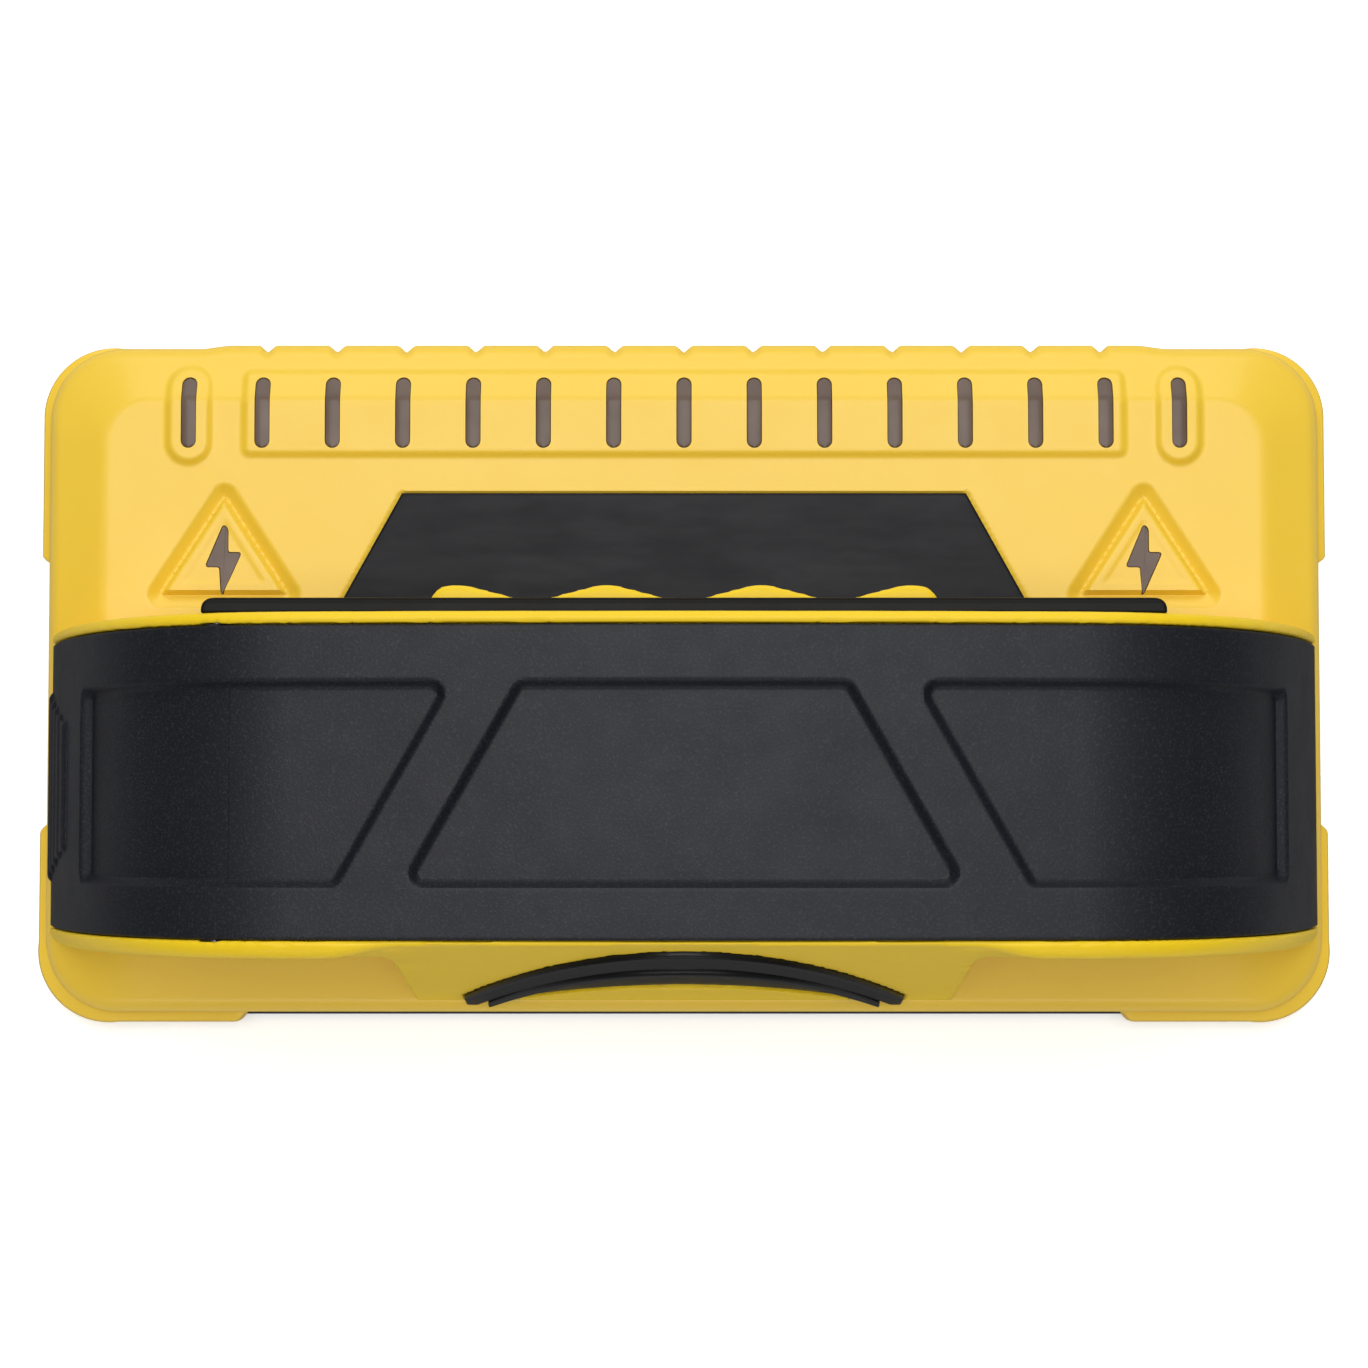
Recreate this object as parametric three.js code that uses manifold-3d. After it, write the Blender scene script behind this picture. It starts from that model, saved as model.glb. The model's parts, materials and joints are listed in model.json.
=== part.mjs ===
// Wide stud finder lying on its flat wall face: base housing, arched handle, row of lights.
// Millimetres. +X runs along the row of lights, +Y points to the light edge, +Z leaves the wall.
import * as THREE from 'three';
import { mergeVertices } from 'three/addons/utils/BufferGeometryUtils.js';
import Module from 'manifold-3d';

const wasm = await Module();
wasm.setup();

// ---- driving dimensions -------------------------------------------------------------------

const GAP = 0.3; // clearance between neighbouring pieces
const FAR = 120; // beyond every face of the object
const WALL = 2; // moulded wall thickness

const PLATE = { halfX: 89.9, halfY: 47.9, radius: 8.5, top: 1.5 };
const SHELL = { halfX: 91.3, bottomY: -47.1, topY: 48.2, radius: 10 };
const RULER = { halfX: 67, topY: 48.7, ramp: 2, notchHalf: 1.15, notchDepth: 1 };
const BUMPER = { halfX: 92.9, halfY: 48.7, radius: 11, innerX: 63.7, upperY: 16.8, lowerY: -20.8 };
const BACK = { bottom: PLATE.top + GAP, floor: 1.4, top: 7 };
const FRONT = { bottom: BACK.top + GAP, plateau: 14.2, lip: 9.2, ceiling: 12 };
const HIGH_ROOM = { halfX: 82, bottomY: -38.1, topY: 39.3, radius: 4 }; // under the plateau, inside the shell
const CABLE_HOLE = { halfX: 8, bottomY: -36, topY: -31 };
const PLATEAU = { halfX: 82.7, bottomY: -37.8, topY: 40.05, radius: 6.5, slope: 0.42, reach: 12 };

const LIGHT_COUNT = 13;
const LIGHT_PITCH = 10;
const WINDOW = { width: 2.2, bottomY: 33.1, topY: 43.4, foot: 7.6, flange: 9 };
const RAISED = 0.5; // light band and edge pads above the surface around them
const BAND = { halfX: 63, bottomY: 31.8, topY: 44.8, radius: 1.2 };
const EDGE_WINDOW_X = 70.45;
const EDGE_PAD = { halfX: 3.35, bottomY: 30.8, topY: 45.2 };
const SIGN = { x: 65.4, apexY: 28.2, baseY: 10.8, halfBase: 11.4, lineWidth: 1.3, depth: 0.6 };

const LINER = { topY: 26.7, halfTop: 40.1, bottomY: -25.4, halfBottom: 68.9, top: 14.4, depth: 0.7 };

const ARCH = { crownZ: 57.5, shoulder: [50, 55.8], bend: [72, 54.5], flank: [84, 34], foot: [90.5, 10], steps: 14 };
const HANDLE = { bottomY: -37.3, topY: 6.85 };
const FINGER_GAP = { roof: 35.5, roofHalf: 58, floorHalf: 70, bendHalf: 69.5, bendZ: 24 };
const LEG_HOLLOW = { innerX: 74, outerX: 83, bottomY: -24.5, topY: -6, top: 32 };
const WIRE_ROOM = { wall: 1.6, endX: 58, bottomY: -32, topY: 2, top: 51.5 };
const COVER = { bottomY: -34.8, topY: 5.2, thickness: 2, seamX: -60 };
const FIELD = { topY: -1.9, bottomY: -28.1, depth: 1.2, halfTop: 21.5, halfBottom: 35.2 };
const SIDE_FIELD = { innerTop: 29.6, innerBottom: 43.4, outer: 81.4 };
const BRIDGE = { halfX: 38.5, innerY: -25.8, faceY: -35.3, faceZ: 57, lean: 0.218, foot: 5, top: 52 };
const RIDGE = { peaks: [10.1, 30.4], peakY: 11.4, valleyY: 9.2, endX: 33.4, bottom: 36.5, top: 46.5 };
const RIDGE_CREST = { half: 2, drop: 0.2, lift: 0.2, endLift: 0.4, endHalf: 0.6, endSlope: 1.2, endDrop: 0.8 };
const STRIP = { halfX: 62, bottomY: 7.15, topY: 9, bottom: 49, top: 52.5 };

const BEZEL = { crownZ: 51.5, halfX: 32.6, proud: 0.8, depth: 1.8, endX: 30.9 };
const BUTTON = { crownZ: 42.8, halfX: 28.8, proud: 1, depth: 2.2, travel: 1.25 };
const BUTTON_SLOT = { crownZ: 35.5, height: 5, endX: 14.2, depth: 0.6 };
const CRESCENT = { crownZ: 22.8, halfX: 24, footZ: 11.6 }; // lower edge of the bezel and button
const BUTTON_POCKET = BUTTON.depth + BUTTON.travel + 0.35;
const BUTTON_FLOOR = 1.2; // wall between the button's pocket and the room behind it
const PLUNGER = { radius: 1.6, height: 29, front: 3.5, back: 5.6 };
const TACT_SWITCH = { half: 3, near: PLUNGER.back + 0.35, far: PLUNGER.back + 2.9 };
const SWITCH_BOARD = { half: 5.2, near: TACT_SWITCH.far + GAP, far: TACT_SWITCH.far + 1.7 };

const CELL = { radius: 7.1, body: 49, nub: 1.5, startX: -57.5, z: 44.1, y: -15.2, pitch: 15 };
const BAY = { endX: -6.1, halfY: 15.4, bottom: 36.8, openX: -38 };
const HINGE = { knuckle: 1.6, pin: 0.6, inset: 2, relief: 2.35 };
const LATCH = { lowZ: 12.6, highZ: 27.2, lowHalf: 13, highHalf: 8.8, y: -15.05, proud: 0.9, ribs: 5 };
const LATCH_TRAVEL = 1.2;
const CARRIER = { x0: -66.5, x1: -64.2, halfY: 13, bottom: 40 };

const BOARD = { halfX: 77, bottomY: -33.5, topY: 44.8, bottom: 3.7, top: 5.3, copper: 0.15 };
const CASE_SCREW = { head: 2.6, shaft: 1.2, top: 11, spots: [[84.5, 40.3], [84.5, -39.3], [42, -41.3]] };
const LEG_SCREW = { x: 78.5, upperY: -1.5, lowerY: -29, head: 2.4, shaft: 1.3, bottom: 10.1, top: 23 };
const POST_RADIUS = 3.3;

// ---- materials ------------------------------------------------------------------------------

const finish = (color, roughness, metalness = 0) =>
  new THREE.MeshStandardMaterial({ color, roughness, metalness });

const yellowPlastic = () => finish(0xf2c530, 0.45);
const blackPlastic = () => finish(0x2b2d30, 0.55);
const glossBlack = () => finish(0x17181a, 0.25);
const softRubber = () => finish(0x1d1e20, 0.75);
const smokedLens = () => finish(0x7d645a, 0.3);
const boardGreen = () => finish(0x1f5a38, 0.5);
const chipBlack = () => finish(0x1a1a1c, 0.5);
const ledWhite = () => finish(0xe9e4d4, 0.35);
const steel = () => finish(0xb9bcc0, 0.35, 1);
const cellJacket = () => finish(0x3f4a5a, 0.35, 0.3);

// ---- solids from three.js geometry -----------------------------------------------------------

function solidOf(geometry) {
  const bare = geometry.index ? geometry.toNonIndexed() : geometry;
  bare.deleteAttribute('normal');
  bare.deleteAttribute('uv');
  const merged = mergeVertices(bare, 1e-5);
  const vertProperties = new Float32Array(merged.attributes.position.array);
  const triVerts = new Uint32Array(merged.index.array);
  return new wasm.Manifold(new wasm.Mesh({ numProp: 3, vertProperties, triVerts }));
}

function geometryOf(solid) {
  const mesh = solid.getMesh();
  const geometry = new THREE.BufferGeometry();
  geometry.setAttribute('position', new THREE.BufferAttribute(mesh.vertProperties, 3));
  geometry.setIndex(new THREE.BufferAttribute(mesh.triVerts, 1));
  return geometry;
}

const point = (x, y) => new THREE.Vector2(x, y);
const polygon = (pairs) => new THREE.Shape(pairs.map(([x, y]) => point(x, y)));

function extrude(shape, depth, curveSegments = 6) {
  return new THREE.ExtrudeGeometry(shape, { depth, bevelEnabled: false, curveSegments });
}

// A shape drawn in X and Y, between two heights.
function alongZ(shape, z0, z1, curveSegments) {
  return solidOf(extrude(shape, z1 - z0, curveSegments).translate(0, 0, z0));
}

// A shape drawn in X and Z, between two values of Y.
function alongY(shape, y0, y1, curveSegments) {
  return solidOf(extrude(shape, y1 - y0, curveSegments).rotateX(Math.PI / 2).translate(0, y1, 0));
}

// A shape drawn in Y and Z, between two values of X.
function alongX(shape, x0, x1, curveSegments) {
  const turn = new THREE.Matrix4().makeBasis(
    new THREE.Vector3(0, 1, 0),
    new THREE.Vector3(0, 0, 1),
    new THREE.Vector3(1, 0, 0),
  );
  return solidOf(extrude(shape, x1 - x0, curveSegments).applyMatrix4(turn).translate(x0, 0, 0));
}

function box(x0, x1, y0, y1, z0, z1) {
  const geometry = new THREE.BoxGeometry(x1 - x0, y1 - y0, z1 - z0);
  return solidOf(geometry.translate((x0 + x1) / 2, (y0 + y1) / 2, (z0 + z1) / 2));
}

// A turned piece: profile pairs are radius and height, and the axis stands along Z.
function turned(profile, segments = 16) {
  return solidOf(new THREE.LatheGeometry(profile.map(([r, z]) => point(r, z)), segments).rotateX(Math.PI / 2));
}

const rod = (radius, z0, z1, segments) => turned([[0, z0], [radius, z0], [radius, z1], [0, z1]], segments);

function rodAlongY(radius, y0, y1, x, z, segments = 16) {
  return rod(radius, -y1, -y0, segments).rotate([90, 0, 0]).translate([x, 0, z]);
}

function roundRect(x0, x1, y0, y1, r) {
  const shape = new THREE.Shape();
  shape.moveTo(x0 + r, y0);
  shape.lineTo(x1 - r, y0);
  shape.absarc(x1 - r, y0 + r, r, -Math.PI / 2, 0);
  shape.lineTo(x1, y1 - r);
  shape.absarc(x1 - r, y1 - r, r, 0, Math.PI / 2);
  shape.lineTo(x0 + r, y1);
  shape.absarc(x0 + r, y1 - r, r, Math.PI / 2, Math.PI);
  shape.lineTo(x0, y0 + r);
  shape.absarc(x0 + r, y0 + r, r, Math.PI, 1.5 * Math.PI);
  return shape;
}

const joined = (solids) => solids.reduce((sum, next) => sum.add(next));
const bothSides = (make) => [-1, 1].map(make);
const lightPositions = Array.from(
  { length: LIGHT_COUNT },
  (_, i) => (i - (LIGHT_COUNT - 1) / 2) * LIGHT_PITCH,
);

const tool = new THREE.Group();

function add(name, solid, material) {
  const mesh = new THREE.Mesh(geometryOf(solid), material);
  mesh.name = name;
  tool.add(mesh);
  return mesh;
}

// ---- base: wall plate, back shell, front shell -----------------------------------------------

function shellOutline() {
  const { halfX, bottomY, topY, radius } = SHELL;
  const shape = new THREE.Shape();
  shape.moveTo(-halfX + radius, bottomY);
  shape.absarc(halfX - radius, bottomY + radius, radius, -Math.PI / 2, 0);
  shape.absarc(halfX - radius, topY - radius, radius, 0, Math.PI / 2);
  shape.lineTo(RULER.halfX + RULER.ramp, topY);
  shape.lineTo(RULER.halfX, RULER.topY);
  for (const x of [...lightPositions].reverse()) {
    shape.lineTo(x + RULER.notchHalf, RULER.topY);
    shape.lineTo(x, RULER.topY - RULER.notchDepth);
    shape.lineTo(x - RULER.notchHalf, RULER.topY);
  }
  shape.lineTo(-RULER.halfX, RULER.topY);
  shape.lineTo(-RULER.halfX - RULER.ramp, topY);
  shape.absarc(-halfX + radius, topY - radius, radius, Math.PI / 2, Math.PI);
  shape.absarc(-halfX + radius, bottomY + radius, radius, Math.PI, 1.5 * Math.PI);
  return shape;
}

// Everything under the plateau and its sloping border, the top surface lifted by raise.
function underTop(raise) {
  const { halfX, bottomY, topY, radius, slope, reach } = PLATEAU;
  const depth = FAR;
  const geometry = new THREE.ExtrudeGeometry(roundRect(-halfX, halfX, bottomY, topY, radius), {
    depth,
    bevelThickness: reach * slope,
    bevelSize: reach,
    bevelSegments: 1,
    curveSegments: 5,
  });
  return solidOf(geometry.translate(0, 0, FRONT.plateau + raise - depth - reach * slope));
}

const screwSpots = CASE_SCREW.spots.flatMap(([x, y]) => [[-x, y], [x, y]]);
const legScrewSpots = bothSides((side) => [
  [side * LEG_SCREW.x, LEG_SCREW.upperY],
  [side * LEG_SCREW.x, LEG_SCREW.lowerY],
]).flat();

function backShell() {
  const { halfX, bottomY, topY, radius } = SHELL;
  const { bottom, floor, top } = BACK;
  const main = alongZ(roundRect(-halfX, halfX, bottomY, topY, radius), bottom, top);
  const skirt = alongZ(
    roundRect(-BUMPER.halfX, BUMPER.halfX, -BUMPER.halfY, BUMPER.halfY, BUMPER.radius),
    bottom,
    top,
  );
  const corners = joined(bothSides((side) => {
    const [x0, x1] = side < 0 ? [-FAR, -BUMPER.innerX] : [BUMPER.innerX, FAR];
    return box(x0, x1, BUMPER.upperY, FAR, 0, FAR).add(box(x0, x1, -FAR, BUMPER.lowerY, 0, FAR));
  }));
  const inner = roundRect(
    -halfX + WALL,
    halfX - WALL,
    bottomY + WALL,
    topY - WALL,
    radius - WALL,
  );
  let shell = main.add(skirt.intersect(corners)).subtract(alongZ(inner, bottom + floor, FAR));
  for (const [x, y] of screwSpots) {
    shell = shell.add(rod(POST_RADIUS, bottom + floor / 2, top).translate([x, y, 0]));
    shell = shell.subtract(rod(CASE_SCREW.head + GAP, 0, bottom + floor + GAP).translate([x, y, 0]));
    shell = shell.subtract(rod(CASE_SCREW.shaft + GAP, 0, FAR).translate([x, y, 0]));
  }
  return shell;
}

function windowSlot(x, inset) {
  const half = WINDOW.width / 2 - inset;
  return roundRect(x - half, x + half, WINDOW.bottomY + inset, WINDOW.topY - inset, half * 0.96);
}

// Warning triangle with its point towards +Y, shrunk by inset on every side.
function triangle(x, inset) {
  const { apexY, baseY, halfBase } = SIGN;
  const side = Math.hypot(halfBase, apexY - baseY);
  const apexDrop = (inset * side) / halfBase;
  const baseShrink = (inset * (side + halfBase)) / (apexY - baseY);
  return polygon([
    [x - halfBase + baseShrink, baseY + inset],
    [x + halfBase - baseShrink, baseY + inset],
    [x, apexY - apexDrop],
  ]);
}

// Lightning bolt around a centre, grown outwards by about margin.
function bolt(x, margin) {
  const m = margin;
  return polygon([
    [x - 0.1 - m / 2, 22.2 + m],
    [x - 2.5 - m, 16.2 - m / 2],
    [x - 0.5 - m, 16.2 - m / 2],
    [x - 0.3 - m / 2, 12.2 - m],
    [x + 2.4 + m, 18.2 + m / 2],
    [x + 0.6 + m, 18.2 + m / 2],
    [x + 0.6 + m, 20.9],
  ]);
}

function linerShape(margin) {
  const { topY, halfTop, bottomY, halfBottom } = LINER;
  return polygon([
    [-halfBottom - margin, bottomY - margin],
    [halfBottom + margin, bottomY - margin],
    [halfTop + margin, topY + margin],
    [-halfTop - margin, topY + margin],
  ]);
}

function frontShell() {
  const lifted = underTop(RAISED);
  let shell = underTop(0).intersect(alongZ(shellOutline(), FRONT.bottom, FAR));
  const band = roundRect(-BAND.halfX, BAND.halfX, BAND.bottomY, BAND.topY, BAND.radius);
  shell = shell.add(lifted.intersect(alongZ(band, FRONT.lip, FAR)));
  for (const side of [-1, 1]) {
    const x = side * EDGE_WINDOW_X;
    const { halfX, bottomY, topY } = EDGE_PAD;
    const pad = roundRect(x - halfX, x + halfX, bottomY, topY, halfX * 0.96);
    shell = shell.add(lifted.intersect(alongZ(pad, FRONT.lip, FAR)));
  }
  const { halfX, bottomY, topY, radius } = SHELL;
  const wide = roundRect(-halfX + WALL, halfX - WALL, bottomY + WALL, topY - WALL, radius - WALL);
  const high = roundRect(
    -HIGH_ROOM.halfX,
    HIGH_ROOM.halfX,
    HIGH_ROOM.bottomY,
    HIGH_ROOM.topY,
    HIGH_ROOM.radius,
  );
  shell = shell.subtract(alongZ(wide, 0, FRONT.lip)).subtract(alongZ(high, 0, FRONT.ceiling));
  for (const [x, y] of screwSpots) {
    shell = shell.add(rod(POST_RADIUS, FRONT.bottom, FRONT.lip + 0.5).translate([x, y, 0]));
    shell = shell.subtract(rod(CASE_SCREW.shaft + GAP, 0, CASE_SCREW.top + GAP, 12).translate([x, y, 0]));
  }
  for (const [x, y] of legScrewSpots) {
    shell = shell.subtract(rod(LEG_SCREW.shaft + GAP, 0, FAR, 12).translate([x, y, 0]));
  }
  for (const x of [...lightPositions, -EDGE_WINDOW_X, EDGE_WINDOW_X]) {
    shell = shell.subtract(alongZ(windowSlot(x, 0), 0, FAR, 2));
  }
  for (const side of [-1, 1]) {
    const x = side * SIGN.x;
    const groove = alongZ(triangle(x, 0), FRONT.plateau - SIGN.depth, FAR);
    shell = shell.subtract(groove.subtract(alongZ(triangle(x, SIGN.lineWidth), 0, FAR + 1)));
    shell = shell.subtract(alongZ(bolt(x, 0), 0, FAR));
  }
  shell = shell.subtract(alongZ(linerShape(GAP), LINER.top - LINER.depth - GAP, FAR));
  const { halfX: holeX, bottomY: holeY, topY: holeTopY } = CABLE_HOLE;
  return shell.subtract(box(-holeX, holeX, holeY, holeTopY, 0, FAR));
}

// ---- handle: arch, grip cover, battery door ---------------------------------------------------

// Outline of the arch in X and Z, moved inwards by inset.
function archPoints(inset) {
  const { crownZ, shoulder, bend, flank, foot, steps } = ARCH;
  const [shoulderX, shoulderZ] = shoulder;
  const crown = new THREE.QuadraticBezierCurve(
    point(-shoulderX, shoulderZ),
    point(0, 2 * crownZ - shoulderZ),
    point(shoulderX, shoulderZ),
  );
  const side = new THREE.CubicBezierCurve(point(...shoulder), point(...bend), point(...flank), point(...foot));
  const offset = (curve, t) => {
    const place = curve.getPoint(t);
    const along = curve.getTangent(t);
    return point(place.x + along.y * inset, place.y - along.x * inset);
  };
  const half = [0.5, 0.75].map((t) => offset(crown, t));
  for (let i = 0; i <= steps; i += 1) {
    half.push(offset(side, i / steps));
  }
  half.push(point(half.at(-1).x, 0));
  const mirrored = half.slice(1).reverse().map((p) => point(-p.x, p.y));
  return [...mirrored, ...half];
}

const archBlock = (inset, y0, y1) => alongY(new THREE.Shape(archPoints(inset)), y0, y1);
const archSkin = (outer, inner, y0, y1) =>
  archBlock(outer, y0, y1).subtract(archBlock(inner, -FAR, FAR));

function fingerGap() {
  const { roof, roofHalf, floorHalf, bendHalf, bendZ } = FINGER_GAP;
  const shape = new THREE.Shape();
  shape.moveTo(-floorHalf, 0);
  shape.lineTo(floorHalf, 0);
  shape.lineTo(bendHalf, bendZ);
  shape.quadraticCurveTo(bendHalf, roof, roofHalf, roof);
  shape.lineTo(-roofHalf, roof);
  shape.quadraticCurveTo(-bendHalf, roof, -bendHalf, bendZ);
  return alongY(shape, -FAR, FAR, 6);
}

// Y of the leaning bridge face at height z, moved outwards by offset.
const bridgeFaceY = (z, offset = 0) => BRIDGE.faceY - (BRIDGE.faceZ - z) * BRIDGE.lean - offset;

// Slab that follows the bridge face, from below it by depth to proud of it.
function faceSlab(depth, proud) {
  const over = BRIDGE.faceZ + WALL;
  return alongX(
    polygon([
      [bridgeFaceY(0, -depth), 0],
      [bridgeFaceY(over, -depth), over],
      [bridgeFaceY(over, proud), over],
      [bridgeFaceY(0, proud), 0],
    ]),
    -FAR,
    FAR,
  );
}

// Stands a piece drawn along +Z on the bridge face, so that +Z becomes the face's inward normal.
function behindButton(solid) {
  const tilt = -90 - THREE.MathUtils.radToDeg(Math.atan(BRIDGE.lean));
  return solid.rotate([tilt, 0, 0]).translate([0, bridgeFaceY(PLUNGER.height), PLUNGER.height]);
}

// Pillar between handle and base, with the room for switch and wires inside it.
function bridge() {
  const { halfX, innerY, foot, top } = BRIDGE;
  const faceWall = BUTTON_POCKET + BUTTON_FLOOR;
  const roomTop = BAY.bottom + 1;
  const outer = polygon([[innerY, foot], [bridgeFaceY(foot), foot], [bridgeFaceY(top), top], [innerY, top]]);
  const inner = polygon([
    [innerY - WALL, 0],
    [innerY - WALL, roomTop],
    [bridgeFaceY(roomTop, -faceWall), roomTop],
    [bridgeFaceY(0, -faceWall), 0],
  ]);
  const overhang = faceSlab(0, FAR).intersect(box(-halfX, halfX, -FAR, 0, FINGER_GAP.roof, FAR));
  return {
    body: alongX(outer, -halfX, halfX),
    room: alongX(inner, -halfX + WALL, halfX - WALL),
    overhang,
  };
}

// Four finger ridges on the finger side of the handle.
function fingerRidges() {
  const { peaks, peakY, valleyY, endX, bottom, top } = RIDGE;
  const { half, drop, lift, endLift, endHalf, endSlope, endDrop } = RIDGE_CREST;
  const [inner, outer] = peaks;
  const baseY = HANDLE.topY - 1;
  const middle = (inner + outer) / 2;
  const shoulderY = peakY - drop;
  const valley = 2 * valleyY - peakY;
  const shape = new THREE.Shape();
  shape.moveTo(-endX, baseY);
  shape.lineTo(endX, baseY);
  shape.lineTo(endX - endSlope, peakY - endDrop);
  shape.quadraticCurveTo(outer + endHalf, peakY + endLift, outer - half, shoulderY);
  shape.quadraticCurveTo(middle, valley, inner + half, shoulderY);
  shape.quadraticCurveTo(inner, peakY + lift, inner - half, shoulderY);
  shape.quadraticCurveTo(0, valley, -inner + half, shoulderY);
  shape.quadraticCurveTo(-inner, peakY + lift, -inner - half, shoulderY);
  shape.quadraticCurveTo(-middle, valley, -outer + half, shoulderY);
  shape.quadraticCurveTo(-outer - endHalf, peakY + endLift, -endX + endSlope, peakY - endDrop);
  return alongZ(shape, bottom, top, 4);
}

// Block along Y under a parabola with its top at crownZ and halfX wide at the crescent's foot.
function underParabola(crownZ, halfX, y0, y1) {
  const footZ = CRESCENT.footZ;
  const shape = new THREE.Shape();
  shape.moveTo(-halfX, footZ);
  shape.lineTo(-halfX, 0);
  shape.lineTo(halfX, 0);
  shape.lineTo(halfX, footZ);
  shape.quadraticCurveTo(0, 2 * crownZ - footZ, -halfX, footZ);
  return alongY(shape, y0, y1, 24);
}

function crescent(outer, grow) {
  const front = HANDLE.bottomY - 20;
  const back = BRIDGE.innerY;
  return underParabola(outer.crownZ + grow, outer.halfX + grow, front, back)
    .subtract(underParabola(CRESCENT.crownZ - grow, CRESCENT.halfX - grow, front - 1, back + 1))
    .intersect(box(-BEZEL.endX - grow, BEZEL.endX + grow, -FAR, FAR, CRESCENT.footZ - grow, FAR));
}

// The latch pad's outline, seen from the end of the handle.
function latchPrism(margin, x0, x1) {
  const { lowZ, highZ, lowHalf, highHalf, y } = LATCH;
  const shape = polygon([
    [y - lowHalf - margin, lowZ - margin],
    [y + lowHalf + margin, lowZ - margin],
    [y + highHalf + margin, highZ + margin],
    [y - highHalf - margin, highZ + margin],
  ]);
  return alongX(shape, x0, x1);
}

const seamCurveZ = () => {
  const place = archPoints(0).find((p) => p.x >= COVER.seamX);
  const before = [...archPoints(0)].reverse().find((p) => p.x < COVER.seamX);
  const share = (COVER.seamX - before.x) / (place.x - before.x);
  return before.y + share * (place.y - before.y);
};
const hingeZ = seamCurveZ() - HINGE.inset;
const PIN = { startY: -36, endY: 6 };

function handleBody() {
  const { bottomY, topY } = HANDLE;
  const { body, room, overhang } = bridge();
  const seat = archBlock(-2, COVER.bottomY - GAP, COVER.topY + GAP)
    .subtract(archBlock(COVER.thickness + GAP, -FAR, FAR));
  const bayRoom = box(-FAR, BAY.endX, CELL.y - BAY.halfY, CELL.y + BAY.halfY, BAY.bottom, 60);
  const bay = bayRoom.intersect(archBlock(COVER.thickness + GAP + 1.5, -FAR, FAR));
  const mouth = bayRoom.intersect(box(-FAR, BAY.openX, -FAR, FAR, 0, FAR));
  const wireRoom = box(
    BAY.endX + WIRE_ROOM.wall,
    WIRE_ROOM.endX,
    WIRE_ROOM.bottomY,
    WIRE_ROOM.topY,
    BAY.bottom,
    WIRE_ROOM.top,
  );
  let handle = archBlock(0, bottomY, topY).subtract(overhang).add(fingerRidges()).subtract(seat);
  handle = handle.subtract(fingerGap()).add(body);
  handle = handle.subtract(bay).subtract(mouth).subtract(wireRoom).subtract(room);
  const { innerX, outerX, bottomY: hollowY, topY: hollowTopY, top: hollowTop } = LEG_HOLLOW;
  handle = handle.subtract(box(-outerX, -innerX, hollowY, hollowTopY, 0, hollowTop));
  handle = handle.subtract(box(innerX, outerX, hollowY, hollowTopY, 0, hollowTop));
  for (const [x, y] of legScrewSpots) {
    handle = handle.subtract(rod(LEG_SCREW.shaft + GAP, 0, LEG_SCREW.top + 1, 12).translate([x, y, 0]));
  }
  const hinge = [COVER.seamX, hingeZ];
  handle = handle.subtract(rodAlongY(HINGE.pin + GAP, PIN.startY - GAP, PIN.endY + GAP, ...hinge));
  handle = handle.subtract(
    rodAlongY(HINGE.relief + GAP, COVER.bottomY - GAP, COVER.topY + GAP, ...hinge),
  );
  const latchRoom = archBlock(COVER.thickness + LATCH_TRAVEL + 2 * GAP, -FAR, FAR);
  handle = handle.subtract(latchPrism(2 * GAP, -FAR, -LEG_HOLLOW.innerX).subtract(latchRoom));
  handle = handle.subtract(crescent(BEZEL, GAP).intersect(faceSlab(BEZEL.depth + GAP, 5)));
  handle = handle.subtract(crescent(BUTTON, GAP).intersect(faceSlab(BUTTON_POCKET, 5)));
  handle = handle.subtract(behindButton(rod(PLUNGER.radius + GAP, 0, PLUNGER.back, 12)));
  return handle.subtract(underTop(GAP));
}

function recessedFields() {
  const skin = archSkin(-2, FIELD.depth, -FAR, FAR);
  const { topY, bottomY, halfTop, halfBottom } = FIELD;
  const { innerTop, innerBottom, outer } = SIDE_FIELD;
  const centre = polygon([
    [-halfBottom, bottomY],
    [halfBottom, bottomY],
    [halfTop, topY],
    [-halfTop, topY],
  ]);
  const sides = bothSides((side) => polygon([
    [side * innerBottom, bottomY],
    [side * outer, bottomY],
    [side * outer, topY],
    [side * innerTop, topY],
  ]));
  return joined([centre, ...sides].map((shape) => alongZ(shape, 5, 70))).intersect(skin);
}

function coverSkin() {
  return archSkin(0, COVER.thickness, COVER.bottomY, COVER.topY)
    .subtract(recessedFields())
    .subtract(underTop(GAP));
}

function gripCover() {
  const seam = rodAlongY(HINGE.relief, -FAR, FAR, COVER.seamX, hingeZ, 20);
  return coverSkin().intersect(box(COVER.seamX, FAR, -FAR, FAR, 0, FAR)).subtract(seam);
}

function batteryDoor() {
  const knuckle = rodAlongY(HINGE.knuckle, COVER.bottomY, COVER.topY, COVER.seamX, hingeZ, 20);
  const { x0, x1, halfY, bottom } = CARRIER;
  const carrier = box(x0, x1, CELL.y - halfY, CELL.y + halfY, bottom, FAR)
    .intersect(archBlock(COVER.thickness / 2, -FAR, FAR));
  return coverSkin()
    .intersect(box(-FAR, COVER.seamX, -FAR, FAR, 0, FAR))
    .add(knuckle)
    .add(carrier)
    .subtract(rodAlongY(HINGE.pin + GAP, -FAR, FAR, COVER.seamX, hingeZ))
    .subtract(latchPrism(GAP, -FAR, -LEG_HOLLOW.innerX));
}

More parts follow.
